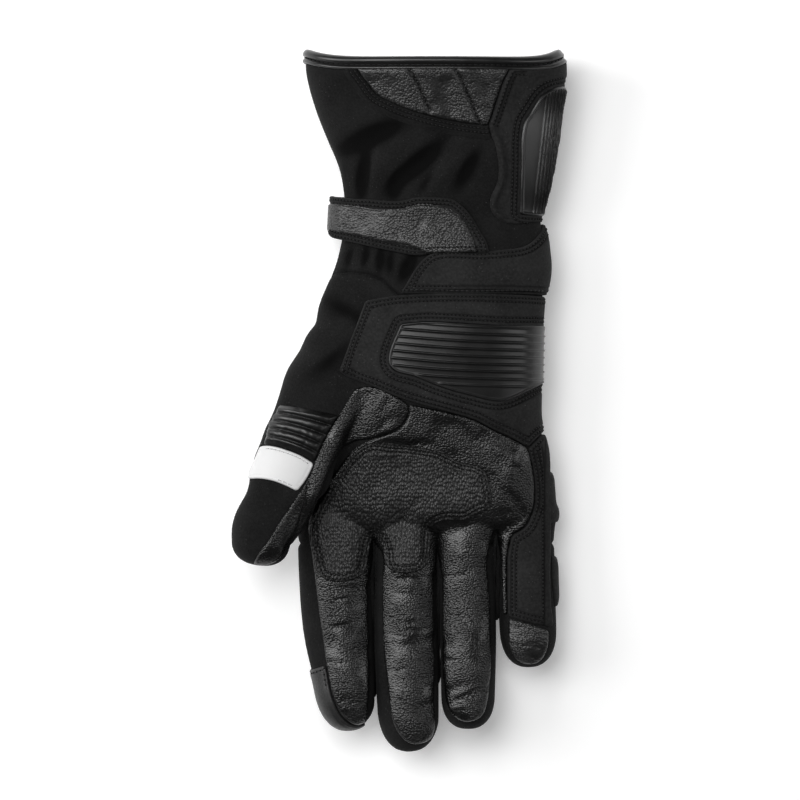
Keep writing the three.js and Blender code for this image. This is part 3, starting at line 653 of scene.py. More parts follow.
# Sewing thread
# Every seam is sewn with the same bonded black thread. It shows as short stitches along a
# row, with a near-black bead between each two as painted shade in the needle hole.
def thread_finish(name, level, gloss):
    thread = Finish(name, roughness=gloss, specular_ior_level=0.3)
    twist = thread.noise(0.25, 1)
    thread.set(base_color=thread.blend(twist, grey(level * 0.7), grey(level * 1.3)))
    return thread.material


def stitch_tree():
    """Rows of stitches on the edges of a mesh, which carries the way up as an attribute."""
    tree = bpy.data.node_groups.new("stitch_rows", "GeometryNodeTree")
    socket = tree.interface.new_socket
    socket("Rows", in_out="INPUT", socket_type="NodeSocketGeometry")
    for name in ("Pitch", "Length", "Thickness", "Hole"):
        socket(name, in_out="INPUT", socket_type="NodeSocketFloat")
    for name in ("Thread", "Dark"):
        socket(name, in_out="INPUT", socket_type="NodeSocketMaterial")
    socket("Stitches", in_out="OUTPUT", socket_type="NodeSocketGeometry")

    def add(kind, links=None, **settings):
        node = tree.nodes.new(kind)
        for key, value in settings.items():
            setattr(node, key, value)
        for key, value in (links or {}).items():
            if isinstance(value, bpy.types.NodeSocket):
                tree.links.new(value, node.inputs[key])
            else:
                node.inputs[key].default_value = value
        return node

    given = add("NodeGroupInput").outputs
    curve = add("GeometryNodeMeshToCurve", {"Mesh": given["Rows"]})
    spots = add("GeometryNodeCurveToPoints", {"Curve": curve.outputs[0], "Length": given["Pitch"]},
                mode="LENGTH")
    up = add("GeometryNodeInputNamedAttribute", {"Name": "up"}, data_type="FLOAT_VECTOR")
    ahead = add("FunctionNodeAlignRotationToVector", {"Vector": spots.outputs["Tangent"]}, axis="X")
    upwards = {"Rotation": ahead.outputs[0], "Vector": up.outputs[0]}
    turned = add("FunctionNodeAlignRotationToVector", upwards, axis="Z", pivot_axis="X")
    ball = add("GeometryNodeMeshUVSphere", {"Segments": 6, "Rings": 4, "Radius": 0.5})
    # painted shade: a near-black bead half a pitch past each stitch, for the shadow in its needle hole
    bead = add("GeometryNodeMeshIcoSphere", {"Subdivisions": 1, "Radius": 0.5})
    size = add("ShaderNodeCombineXYZ",
               {"X": given["Length"], "Y": given["Thickness"], "Z": given["Thickness"]})
    upright = add("GeometryNodeTransform", {"Geometry": ball.outputs[0], "Rotation": (0, math.pi / 2, 0)})
    stitch = add("GeometryNodeTransform", {"Geometry": upright.outputs[0], "Scale": size.outputs[0]})
    width = add("ShaderNodeCombineXYZ", {"X": given["Hole"], "Y": given["Hole"], "Z": given["Hole"]})
    hole = add("GeometryNodeTransform", {"Geometry": bead.outputs[0], "Scale": width.outputs[0]})
    half = add("ShaderNodeMath", {0: given["Pitch"], 1: 0.5}, operation="MULTIPLY")
    step = add("ShaderNodeCombineXYZ", {"X": half.outputs[0]})
    both = add("GeometryNodeJoinGeometry")
    for shape, moved_by, finish in ((stitch, None, "Thread"), (hole, step, "Dark")):
        laid = {"Points": spots.outputs["Points"], "Instance": shape.outputs[0],
                "Rotation": turned.outputs[0]}
        rows = add("GeometryNodeInstanceOnPoints", laid)
        if moved_by:
            shifted = {"Instances": rows.outputs[0], "Translation": moved_by.outputs[0]}
            rows = add("GeometryNodeTranslateInstances", shifted)
        real = add("GeometryNodeRealizeInstances", {"Geometry": rows.outputs[0]})
        smooth = add("GeometryNodeSetShadeSmooth", {"Geometry": real.outputs[0]})
        coloured = add("GeometryNodeSetMaterial", {"Geometry": smooth.outputs[0], "Material": given[finish]})
        tree.links.new(coloured.outputs[0], both.inputs[0])
    output = add("NodeGroupOutput")
    tree.links.new(both.outputs[0], output.inputs[0])
    return tree


stitches = stitch_tree()
finish_thread = thread_finish("black_thread", 26, 0.45)
# painted shade: the near-black finish of the beads in the needle holes
finish_hole_shade = thread_finish("needle_hole_shade", 1, 1.0)


def sew(name, rows, pitch=1.8, length=1.2, thickness=0.6, hole=1.0, thread=finish_thread):
    """Stitches along rows, each of which is a pair of points and the ways up there."""
    points, ups, edges = [], [], []
    for line, up in rows:
        first = sum(len(part) for part in points)
        points.append(line)
        ups.append(up)
        edges += [(first + i, first + i + 1) for i in range(len(line) - 1)]
    mesh = bpy.data.meshes.new(name)
    mesh.from_pydata(((np.concatenate(points) + OFF_CENTRE) * MM).tolist(), edges, [])
    way_up = mesh.attributes.new("up", "FLOAT_VECTOR", "POINT")
    way_up.data.foreach_set("vector", np.concatenate(ups).astype(np.float32).ravel())
    piece = place(name, mesh)
    modifier = piece.modifiers.new("stitches", "NODES")
    modifier.node_group = stitches
    values = {"Pitch": pitch * MM, "Length": length * MM, "Thickness": thickness * MM, "Hole": hole * MM,
              "Thread": thread, "Dark": finish_hole_shade}
    for item in stitches.interface.items_tree:
        if item.name in values and item.in_out == "INPUT":
            modifier[item.identifier] = values[item.name]
    graph = bpy.context.evaluated_depsgraph_get()
    sewn = bpy.data.meshes.new_from_object(piece.evaluated_get(graph))
    piece.modifiers.clear()
    piece.data = sewn
    sewn.name = name
    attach(piece, "root")


GROOVE_OUT, GROOVE_PAST = 0.62, -2.9
groove = on_rim(np.append(rim_angle, 2 * math.pi), GROOVE_OUT, GROOVE_PAST)
sew("binding_stitches", [groove], pitch=2.6, length=1.9, thickness=0.6, hole=0.6)

# Cuff gusset
# An insert of pebble-grained leather at the mouth, quilted with two slanting seams. The
# softshell's edge round it is turned under and topstitched twice, and stands higher.
PALM_LOW = 15.0  # panels on the palm side end at this height on the tubes' sides
CUFF_PANEL_LOW = 22.0
WRAPPED = -50.0  # a panel that goes right round a tube ends at no height
ROW_LOW = 20.0  # and rows of stitches on the gusset end here
DOUBLE_ROW = (1.5, 3.4)  # the usual two rows of topstitching, from a panel's edge


def smooth_outline(corners, sharp=50.0):
    """A closed line through the corners, smooth except where it turns sharply."""
    corners = np.array(corners, float)
    ahead = np.roll(corners, -1, 0) - corners
    length = np.linalg.norm(ahead, axis=1, keepdims=True)
    way = ahead / length
    before = np.roll(way, 1, 0)
    turn = np.degrees(np.arccos(np.clip((way * before).sum(1), -1, 1)))[:, None]
    mean = way + before
    mean /= np.maximum(np.linalg.norm(mean, axis=1, keepdims=True), 1e-6)
    leave, arrive = np.where(turn > sharp, way, mean), np.where(turn > sharp, before, mean)
    line = []
    for k, start in enumerate(corners):
        steps = max(int(length[k, 0] / 0.8), 2)
        t = np.linspace(0, 1, steps, endpoint=False)[:, None]
        end = corners[(k + 1) % len(corners)]
        a, b = leave[k] * length[k], arrive[(k + 1) % len(corners)] * length[k]
        line.append((2 * t**3 - 3 * t**2 + 1) * start + (t**3 - 2 * t**2 + t) * a
                    + (3 * t**2 - 2 * t**3) * end + (t**3 - t**2) * b)
    line = np.concatenate(line)
    for _ in range(2):
        line = (np.roll(line, 1, 0) + 2 * line + np.roll(line, -1, 0)) / 4
    return line


def plan_depth(points, outline):
    """How far points are inside an outline, seen from above, and the way further in."""
    pitch = 0.25
    ahead = np.roll(outline, -1, 0) - outline
    run = np.append(0, np.cumsum(np.linalg.norm(ahead, axis=1)))
    spots = np.linspace(0, run[-1], int(run[-1] / pitch), endpoint=False)
    ring = np.vstack([outline, outline[:1]])
    line = np.stack([np.interp(spots, run, ring[:, k]) for k in (0, 1)], 1)
    way = np.roll(line, -1, 0) - np.roll(line, 1, 0)
    way /= np.linalg.norm(way, axis=1, keepdims=True)
    area = (line[:, 0] * np.roll(line[:, 1], -1) - line[:, 1] * np.roll(line[:, 0], -1)).sum()
    inner = np.stack([-way[:, 1], way[:, 0]], 1) * math.copysign(1, area)
    tree = KDTree(len(line))
    for i, (x, y) in enumerate(line.tolist()):
        tree.insert((x, y, 0), i)
    tree.balance()
    nearest = np.array([tree.find((x, y, 0))[1] for x, y in points[:, :2].tolist()], int)
    gap = points[:, :2] - line[nearest]
    along = (gap * way[nearest]).sum(1)
    side = np.where((gap * inner[nearest]).sum(1) > 0, 1.0, -1.0)
    far = np.sqrt(np.maximum((gap**2).sum(1) - np.minimum(along**2, (pitch / 2) ** 2), 0))
    inward = np.where((far > pitch)[:, None], gap * (side / np.maximum(far, 1e-6))[:, None], inner[nearest])
    return far * side, inward


def lying_depth(points, normals, outline, low):
    """Distance along the surface from a panel's edge: its outline, or the height it ends at.

    A panel with a height to end at also ends where the surface turns under."""
    plan, inward = plan_depth(points, outline)
    lean = (inward * normals[:, :2]).sum(1)
    steepest = 0.3
    along = plan / np.maximum(np.sqrt(np.maximum(1 - lean**2, 0)), steepest)
    down = (points[:, 2] - low) / np.maximum(np.sqrt(np.maximum(1 - normals[:, 2] ** 2, 0)), steepest)
    depth = np.minimum(along, down)
    if low == WRAPPED:
        return depth
    turned_under, bend_radius = 0.25, 9
    return np.minimum(depth, bend_radius * (normals[:, 2] + turned_under))


Cut = namedtuple("Cut", "points faces depth normals")


def cut_panel(depth_of, near, turns=1, base=None):
    """A fine piece of the skin, or of another base, cut where the depth is zero."""
    points, faces = base or (hand_and_cuff, hand_faces)
    points, faces = compact(points, faces[near(points[faces].mean(1))])
    points, faces = modified("cloth", points, faces.tolist(), "SUBSURF", levels=turns, render_levels=turns)
    normals = relaxed(normals_at(points, faces), faces, 3)
    normals /= np.linalg.norm(normals, axis=1, keepdims=True)
    points, faces, depth, normals = trimmed(points, faces, depth_of(points, normals), normals)
    edge = np.zeros(len(points), bool)
    edge[border_of(faces).ravel()] = True
    moved = relaxed(points, faces, 3, fixed=edge) - points
    points = points + moved - normals * (moved * normals).sum(1, keepdims=True)
    depth = np.where(edge, 0, np.maximum(depth_of(points, normals), 0.02))
    return Cut(points, faces, depth, normals)


def plan_panel(line, low=PALM_LOW, turns=1, also=None):
    """A panel cut to an outline seen from above, and to anything else that bounds it."""
    spare = 3

    def near(centre):
        inside = (centre[:, :2] > line.min(0) - spare).all(1) & (centre[:, :2] < line.max(0) + spare).all(1)
        inside &= centre[:, 2] > low - spare
        inside[inside] = plan_depth(centre[inside], line)[0] > -spare
        return inside

    def depth_of(points, normals):
        depth = lying_depth(points, normals, line, low)
        return depth if also is None else np.minimum(depth, also(points, normals))

    return cut_panel(depth_of, near, turns)


def rounded(depth, edge, full, reach):
    """A panel's height: it rises from its edge in a quarter round."""
    t = np.clip(depth / reach, 0, 1)
    return edge + (full - edge) * np.sqrt(1 - (1 - t) ** 2)


def ridge(distance, width):
    return np.exp(-((distance / width) ** 2))


def sewn_in(distance, rows):
    """How far rows of stitches pull the cloth in, each at its own distance from an edge; finishes also
    darken the cloth there by it, as painted shade.
    """
    pull_width = 0.42
    return sum(ridge(distance - row, pull_width) for row in rows)


def line_distance(points, line):
    """Distance, seen from above, from a line of points, and how far along it as a share."""
    line = np.array(line, float)
    best, share = np.full(len(points), np.inf), np.zeros(len(points))
    run = np.append(0, np.cumsum(np.linalg.norm(np.diff(line, axis=0), axis=1)))
    for k in range(len(line) - 1):
        step = line[k + 1] - line[k]
        t = np.clip(((points[:, :2] - line[k]) @ step) / (step @ step), 0, 1)
        away = np.linalg.norm(points[:, :2] - line[k] - t[:, None] * step, axis=1)
        nearer = away < best
        best[nearer] = away[nearer]
        share[nearer] = (run[k] + t * (run[k + 1] - run[k]))[nearer] / run[-1]
    return best, share


def wrinkles(points, places, seed, count, length, width, depth, direction=0.0, scatter=25.0):
    """Small soft creases, scattered inside boxes of x and y."""
    chance = np.random.RandomState(seed)
    folds = []
    for _ in range(count):
        x_low, x_high, y_low, y_high = places[chance.randint(len(places))]
        folds.append((chance.uniform(x_low, x_high), chance.uniform(y_low, y_high),
                      direction + chance.uniform(-scatter, scatter), length * chance.uniform(0.6, 1.4),
                      width * chance.uniform(0.7, 1.3), -depth * chance.uniform(0.4, 1.3)))
    return fold_height(folds, points[:, 0], points[:, 1])


def plain_underside(points, faces, depth):
    """A coarse net under a panel: its triangles, by the points of the fine top that they use."""
    border = border_of(faces)
    cell = 4.0
    _, firsts = np.unique(np.floor(points[:, :2] / cell).astype(int), axis=0, return_index=True)
    kept = np.unique(np.concatenate([border.ravel(), firsts[depth[firsts] > 2]]))
    place_of = np.full(len(points), -1)
    place_of[kept] = np.arange(len(kept))
    flat = [Vector(point) for point in points[kept, :2].tolist()]
    spots, _, triangles, origins, _, _ = delaunay_2d_cdt(flat, place_of[border].tolist(), [], 1, 1e-5)
    nearest = KDTree(len(kept))
    for i, point in enumerate(flat):
        nearest.insert((*point, 0), i)
    nearest.balance()
    back = [kept[own[0] if own else nearest.find((*spot, 0))[1]] for spot, own in zip(spots, origins)]
    net = np.array([[back[k] for k in triangle] for triangle in triangles])
    a, b, c = net.T
    return net[(a != b) & (b != c) & (a != c)]


def panel_body(top, under, faces, net):
    """A closed body with a fine top, a coarse underside and a wall between their edges."""
    border = border_of(faces)
    used = np.unique(np.concatenate([net.ravel(), border.ravel()]))
    place_of = np.full(len(top), -1)
    place_of[used] = np.arange(len(used)) + len(top)
    rim = np.stack([border[:, 1], border[:, 0], place_of[border[:, 0]], place_of[border[:, 1]]], 1)
    return np.concatenate([top, under[used]]), np.concatenate([faces, place_of[net[:, [2, 1, 0, 0]]], rim])


def panel_piece(name, cut, height, lower, finishes, nodes=(), wraps=False, flat=None,
                part_of=None, pull_and_painted_shade=None):
    """A finished panel from its cut and its height over the tubes; returns its bare top for sewing on.

    For one with a flat size the area of its top is worked out, and nothing uses it."""
    points, faces, depth, normals = cut
    bare_top = points + normals * height[:, None]
    top, beneath = with_rise(bare_top), with_rise(points + normals * lower)
    if wraps:
        body, body_faces = walled(top, beneath, faces)
    else:
        body, body_faces = panel_body(top, beneath, faces, plain_underside(points, faces, depth))
    painted = None if pull_and_painted_shade is None else {"pull_and_painted_shade": pull_and_painted_shade}
    piece = dressed(name, body, body_faces, finishes, nodes, painted, part_of)
    if flat is not None:
        a, b, c, d = (top[faces[:, k]] for k in range(4))
        area = np.linalg.norm(np.cross(c - a, d - b), axis=1).sum() / 2
    return bare_top, faces


def surface_of(top):
    points, faces = top
    return BVHTree.FromPolygons(points.tolist(), face_list(faces))


def dropped(line, surface, lift=0.05):
    """A line seen from above, dropped onto a surface, with the way up; nan where it misses."""
    spots, ups = np.full((len(line), 3), np.nan), np.zeros((len(line), 3))
    above = 90
    for i, (x, y) in enumerate(line.tolist()):
        spot, normal, _, _ = surface.ray_cast(Vector((x, y, above)), Vector((0, 0, -1)))
        if spot is not None:
            spots[i], ups[i] = spot + normal * lift, normal
    return spots, ups


LARGEST_GAP = 2.5  # a row breaks off where its points are further apart


def runs_of(line, surface, low, keep=None):
    """The unbroken runs of a line that lie on a surface, above a height and where keep allows."""
    spots, ups = dropped(line, surface)
    spare, steepest, fewest = 0.5, 0.12, 6
    good = (np.nan_to_num(spots[:, 2], nan=-np.inf) > low + spare) & (ups[:, 2] > steepest)
    if keep is not None:
        good &= keep(spots[:, 0], spots[:, 1])
    gaps = np.append(np.linalg.norm(np.diff(line, axis=0), axis=1) > LARGEST_GAP, True)
    rows, current = [], []
    for i in range(len(line)):
        if good[i]:
            current.append(i)
        if (not good[i] or gaps[i]) and current:
            if len(current) >= fewest:
                rows.append((with_rise(spots[current]), ups[current]))
            current = []
    return rows


def beside(outline, offset):
    """The outline moved inwards by an even distance, or outwards where it is negative."""
    way = np.roll(outline, -1, 0) - np.roll(outline, 1, 0)
    way /= np.maximum(np.linalg.norm(way, axis=1, keepdims=True), 1e-9)
    area = (outline[:, 0] * np.roll(outline[:, 1], -1) - outline[:, 1] * np.roll(outline[:, 0], -1)).sum()
    line = outline + np.stack([-way[:, 1], way[:, 0]], 1) * (offset * math.copysign(1, area))
    depth, _ = plan_depth(line, outline)
    off_row = 0.2
    line = line[np.abs(depth - offset) < off_row]
    jump = np.linalg.norm(np.roll(line, -1, 0) - line, axis=1)
    line = np.roll(line, -int(jump.argmax()) - 1, 0)
    return np.vstack([line, line[:1]]) if jump.max() < LARGEST_GAP else line


def rows_beside(outline, offsets, surface, low, keep=None):
    return [run for offset in offsets for run in runs_of(beside(outline, offset), surface, low, keep)]


def leather_finish(name, dark, light, grain=(1.05, 0.85), gloss=0.3, relief=1.0):
    leather = Finish(name, specular_ior_level=0.5)
    broad, middle = leather.noise(13, 2), leather.noise(4, 2)
    pebbles = leather.cells(1.0, leather.scaled(grain[0], grain[1], grain[0]), randomness=0.9)
    domes = 1 - pebbles * pebbles * 1.7
    grain_strength = broad.clamped(0.32, 0.58) * 0.7 + 0.3
    # painted light and shade: the pebble tops are lighter and the gaps between them darker, more so where
    # the grain is strong, over a random tone; sewn-in rows get painted shade too
    tone = domes.clamped(0.45, 0.95) * grain_strength * 0.7 + middle.clamped(0.3, 0.7) * 0.3
    coloured = leather.blend(tone, grey(dark), grey(light))
    leather.set(base_color=leather.blend(leather.painted("pull_and_painted_shade") * PAINTED_SHADE_SHARE, coloured, grey(PAINTED_SHADE_GREY)),
                roughness=(broad - 0.5) * 0.25 + pebbles * 0.2 + (gloss - 0.06))
    leather.relief(domes * grain_strength * 0.24 + middle * 0.2 + broad * 0.6, relief, 1.0)
    return leather.material


finish_leather = leather_finish("grained_leather", 2, 24, gloss=0.28)
finish_light_leather = leather_finish("light_leather", 9, 50, grain=(1.1, 1.0), gloss=0.34)
GUSSET = [
    (-20.2, 155.6), (-19.5, 153.9), (-16.5, 148.5), (-11.5, 141.5), (-4.5, 137.5), (7, 133),
    (20.5, 129.5), (32, 127.5), (40.2, 126.6), (41.2, 129.5), (44.7, 140), (47.7, 149), (49.5, 153.9),
    (50, 155.6),
]
QUILT_LINES = [[(4.4, 154), (13.6, 133)], [(25.6, 154), (36.8, 127.5)]]
RIM_LEVEL = 155.0  # panels end under the binding here
gusset_line = smooth_outline(GUSSET)
cut = plan_panel(gusset_line, CUFF_PANEL_LOW)
points, depth = cut.points, cut.depth
height, pull_and_painted_shade = rounded(depth, 0.5, 1.5, 2.0), 0 * depth
for line in QUILT_LINES:
    away, _ = line_distance(points, line)
    height += 0.5 * ridge(away - 4.5, 3.5) - 1.3 * ridge(away, 0.75)
    # the quilting grooves also get painted shade
    pull_and_painted_shade += ridge(away, 0.6)
top = panel_piece("gusset_leather", cut, height, 0.1, [finish_light_leather], ["cuff_gusset"],
                  pull_and_painted_shade=pull_and_painted_shade, flat=(70, 28))
gusset_surface = surface_of(top)
rows = []
for (x0, y0), (x1, y1) in QUILT_LINES:
    t = np.linspace(0.03, 0.93, 40)[:, None]
    rows += runs_of(np.hstack([x0 + t * (x1 - x0), y0 + t * (y1 - y0)]), gusset_surface, ROW_LOW)
sew("gusset_stitches", rows, pitch=2.0, length=1.5, thickness=0.7)

CUFF_SIDE_PANEL = [
    (50.5, 155.6), (50, 153.9), (48.3, 149), (45.3, 140), (41.8, 129.5), (40.8, 126.5), (44.3, 116.5),
    (45.3, 102), (41.8, 93), (42, 88), (48, 82.4), (66, 83), (84, 83), (84, 155.4),
]
side_line = smooth_outline(CUFF_SIDE_PANEL)
# the turned-under edge of the softshell round the gusset lies inside this outline
HEM_REGION = [
    (-30, 160), (-30, 140), (-20, 130), (0, 124), (30, 118), (46, 118), (46, 130), (30, 136), (0, 146),
    (-10, 160),
]
HEM_WIDTH = 6.6
HEM_ROWS = (1.6, 3.6)
ROWS_TOP = 153.5  # rows end under the binding here


def hem_depth(points, normals):
    gusset, _ = plan_depth(points, gusset_line)
    side, _ = plan_depth(points, side_line)
    return np.minimum.reduce([-gusset - 0.35, HEM_WIDTH + gusset, -side - 0.3, RIM_LEVEL - points[:, 1]])


cut = plan_panel(smooth_outline(HEM_REGION), CUFF_PANEL_LOW, also=hem_depth)
points = cut.points
from_gusset = -plan_depth(points, gusset_line)[0]
pull_and_painted_shade = sewn_in(from_gusset, HEM_ROWS)
height = 0.12 + 1.25 * smooth_step(0, 3.2, HEM_WIDTH - from_gusset) * smooth_step(-0.6, 1.4, from_gusset)
height -= 0.4 * pull_and_painted_shade
top = panel_piece("gusset_hem", cut, np.maximum(height, 0.1), 0.02, [finish_softshell],
                  pull_and_painted_shade=pull_and_painted_shade, flat=(82, 13))
rows = rows_beside(gusset_line, np.negative(HEM_ROWS), surface_of(top), ROW_LOW, lambda x, y: y < ROWS_TOP)
sew("gusset_hem_stitches", rows)

# Cuff side panel
# Textile on the little finger's side of the cuff. Its inner seam is a roll that runs down
# from the gusset to the wrist.
def woven_finish(name, dark, light, thread=0.7, relief=0.7, gloss=0.86):
    cloth = Finish(name, roughness=gloss, specular_ior_level=0.16, sheen_weight=0.02)
    lint = cloth.cells(1.6).clamped(0.18, 0.09) * cloth.noise(5, 1).clamped(0.48, 0.62)
    broad, fine, mottle = cloth.noise(18, 3), cloth.noise(0.5, 2), cloth.noise(1.2, 2)
    weave = [cloth.wire("ShaderNodeTexWave", {"bands_direction": axis},
                        {"Vector": cloth.scaled(thread, thread, thread), "Scale": 0.5, "Distortion": 0.6},
                        "Fac")
             for axis in ("X", "Y")]
    yarn = weave[0] * 0.5 + weave[1] * 0.5
    tone = broad.clamped(0.3, 0.7) * 0.35 + mottle.clamped(0.3, 0.7) * 0.4 + fine * 0.25
    linted = cloth.blend(lint * 0.4, cloth.blend(tone, grey(dark), grey(light)), grey(95))
    # painted shade in the sewn-in rows
    cloth.set(base_color=cloth.blend(cloth.painted("pull_and_painted_shade") * PAINTED_SHADE_SHARE, linted, grey(PAINTED_SHADE_GREY)))
    cloth.relief(yarn * 0.4 + fine * 0.4 + mottle * 0.5 + lint * 0.4, relief, 0.2)
    return cloth.material


finish_textile = woven_finish("woven_textile", 22, 46)
cut = plan_panel(side_line, CUFF_PANEL_LOW, also=lambda points, normals: RIM_LEVEL - points[:, 1])
points, depth = cut.points, cut.depth
to_side = plan_depth(points, side_line)[0]
inner_seam = (points[:, 0] < 56) & (points[:, 1] > 84)
roll = 1.1 * ridge(to_side - 1.7, 1.15) - 0.35 * ridge(to_side - 4.2, 0.8)
height = rounded(depth, 0.5, 1.0, 1.2) + inner_seam * roll
CUFF_GRIP = [
    (84, 145), (67.5, 143), (58.5, 131.5), (57, 129), (55.5, 106), (55, 86), (61, 85.6), (84, 87.5),
]
grip_line = smooth_outline(CUFF_GRIP, sharp=70)
from_grip = -plan_depth(points, grip_line)[0]
SIDE_ROWS, SIDE_ROWS_Y, SIDE_ROWS_X = (2.0, 3.9), 127, 58  # beside the gusset only
by_gusset = smooth_step(SIDE_ROWS_Y - 1, SIDE_ROWS_Y + 1, points[:, 1]) * (points[:, 0] < SIDE_ROWS_X)
pull_and_painted_shade = sewn_in(from_grip, DOUBLE_ROW) + sewn_in(to_side, SIDE_ROWS) * by_gusset
height += 0.3 * smooth_step(7, 4.5, from_grip) - 0.4 * pull_and_painted_shade
top = panel_piece("side_textile", cut, np.maximum(height, 0.25), 0.05, [finish_textile],
                  ["cuff_side_panel"], pull_and_painted_shade=pull_and_painted_shade, flat=(44, 80))
side_surface = surface_of(top)
rows = rows_beside(side_line, SIDE_ROWS, side_surface, CUFF_PANEL_LOW,
                   lambda x, y: (y > SIDE_ROWS_Y) & (y < ROWS_TOP) & (x < SIDE_ROWS_X))
rows += rows_beside(grip_line, np.negative(DOUBLE_ROW), side_surface, CUFF_PANEL_LOW + 1,
                    lambda x, y: y < 150)
sew("side_stitches", rows)

# Cuff grip
# A panel of moulded rubber stitched onto the side panel: a thin frame, a plain flat strip
# and fine upright ribs that follow the outline of the cuff.
def rubber_finish():
    rubber = Finish("moulded_rubber", specular_ior_level=0.45)
    scuff, fine = rubber.noise(9, 4), rubber.noise(0.4, 2)
    rubber.set(base_color=rubber.blend(scuff, grey(12), grey(22)),
               roughness=scuff * 0.15 + fine * 0.1 + 0.22)
    rubber.relief(fine, 0.25, 0.08)
    return rubber.material


finish_rubber = rubber_finish()
cut = plan_panel(grip_line, CUFF_PANEL_LOW, 2)
points, depth = cut.points, cut.depth
skin_surface = surface_of((hand_and_cuff, hand_faces))
FIRST_RIB = [(60.6, 86), (63.6, 112), (66.9, 142)]
t = np.linspace(0, 1, 40)
rib_line = np.stack([np.interp(t, [0, 0.5, 1], values) for values in zip(*FIRST_RIB)], 1)
rib_spots, _ = dropped(rib_line, skin_surface, 0)
line_x = np.interp(points[:, 1], rib_spots[:, 1], rib_spots[:, 0])
line_z = np.interp(points[:, 1], rib_spots[:, 1], rib_spots[:, 2])
across = np.hypot(points[:, 0] - line_x, points[:, 2] - line_z) * np.sign(points[:, 0] - line_x)
RIB_PITCH = 1.75
ribbed = smooth_step(-0.5, 0.2, across) * smooth_step(0.9, 1.7, depth)
crest = np.maximum(np.cos(2 * math.pi * across / RIB_PITCH), 0) ** 1.3
height = rounded(depth, 1.3, 2.0, 0.7) + 0.42 * ridge(depth - 0.95, 0.35) + 1.0 * crest * ribbed
height -= 0.22 * smooth_step(1.5, 2.1, depth) * (1 - ribbed)
panel_piece("cuff_rubber", cut, height, 0.7, [finish_rubber], ["cuff_grip"])

# Wrist band
# A wide textile band that wraps the outer edge below the strap; its slanting end is
# topstitched twice, and a thick stitched seam joins it to the heel of the hand.
BAND_FRONT = [
    (11, 65), (15.5, 68), (38.5, 68.6), (46.5, 69.2), (58.5, 71.5), (64.5, 76.5), (68, 81.6), (80, 82),
    (80, 48.8), (0, 48.8),
]
BAND_BACK = [
    (-4, 72), (40, 73), (62, 81.6), (80, 82), (80, 48.8), (-4, 49.5),
]
band_front, band_back = smooth_outline(BAND_FRONT), smooth_outline(BAND_BACK)


def wrapped_panel(front, back, x_range, y_range, turns=1, base=None):
    """A panel round the tube, cut to one outline on the palm side and another on the back."""

    def near(centre):
        x, y = centre[:, 0], centre[:, 1]
        return (x > x_range[0]) & (x < x_range[1]) & (y > y_range[0]) & (y < y_range[1])

    def depth_of(points, normals):
        share = smooth_step(CUFF_PANEL_LOW - 4, CUFF_PANEL_LOW + 4, points[:, 2])
        in_front = lying_depth(points, normals, front, WRAPPED)
        behind = lying_depth(points, normals, back, WRAPPED)
        return behind + (in_front - behind) * share

    return cut_panel(depth_of, near, turns, base)


ROPE_Y = 50.4
cut = wrapped_panel(band_front, band_back, (-9, np.inf), (44, 87))
points, depth = cut.points, cut.depth
pull_and_painted_shade = sewn_in(depth, DOUBLE_ROW) + sewn_in(points[:, 1], [ROPE_Y - 0.5])
height = rounded(depth, 0.7, 2.3, 2.0) - 0.4 * pull_and_painted_shade
height += 0.5 * ridge(points[:, 1] - 60, 9) * smooth_step(20, 45, points[:, 0])
height += wrinkles(points, [(5, 66, 52, 74)], seed=3, count=14, length=9, width=2.0, depth=0.25,
                   direction=10)
top = panel_piece("band_textile", cut, height, 0.1, [finish_textile], ["wrist_band"], wraps=True,
                  pull_and_painted_shade=pull_and_painted_shade, flat=(36, 128))
band_surface = surface_of(top)
rows = rows_beside(band_front, DOUBLE_ROW, band_surface, CUFF_PANEL_LOW, lambda x, y: (x < 24) | (y > 60))
sew("band_stitches", rows)
rope = np.stack([np.linspace(-1, 66, 160), ROPE_Y + 0.25 * np.sin(np.linspace(0, 9, 160))], 1)
rows = runs_of(rope, band_surface, CUFF_PANEL_LOW)
sew("band_rope", rows, pitch=2.3, length=2.2, thickness=0.9, hole=0.5)

# Wrist strap
# A closing strap of grained leather that bridges the narrow wrist on the thumb's side. Its
# border is folded textile, stitched twice all round, and the leather lies a little lower.
STRAP_THICKNESS, STRAP_CLEARANCE = 2.0, 0.9
STRAP_ROWS = (1.2, 2.8)
STRAP_CURVE = smooth_rows([
    (108, -31.0, 72, 0, 45.5, 0), (102, -33.0, 72, 0, 44, 0), (86, -34.0, 72, 0, 40.8, 0),
    (74, -34.6, 72, 0, 40.2, 0), (64, -35.0, 72, 0, 41.0, 0), (58, -35.2, 72, 0, 41.5, 0),
], 6)[::-1]
STRAP_FRONT = [
    (-42, 95.4), (-33, 94.8), (-23, 93.4), (-13, 92.7), (-7, 92), (0, 92), (3.2, 92.5), (6, 93.3),
    (11.6, 93.6), (18.5, 93.4), (24, 92.7), (27, 90.8), (29.7, 88.5), (32.4, 85.3), (34.8, 81.6),
    (37.1, 77.4), (39.6, 73.2), (41.2, 67.8), (32, 67.7), (23, 67.6), (14, 67.4), (9.5, 66.7),
    (5.6, 66.8), (0, 67.9), (-11.6, 70.4), (-23.2, 73.3), (-29, 74.7), (-34, 76.5), (-42, 78.4),
]
STRAP_INLAY = [
    (-60, 94), (-32.4, 91.8), (-23.2, 90.4), (-13.9, 88.6), (-7, 87.9), (0, 88.3), (4.6, 89.4),
    (9.3, 90.5), (13.9, 90.3), (20.9, 89), (25.2, 86.7), (28.4, 83.9), (31.2, 79.7), (33.8, 73.7),
    (37, 62), (23.2, 62), (15, 64), (11, 68.4), (4.6, 70.7), (-4.6, 72.5), (-13.9, 74.6), (-23.2, 76.7),
    (-34, 79), (-60, 84),
]
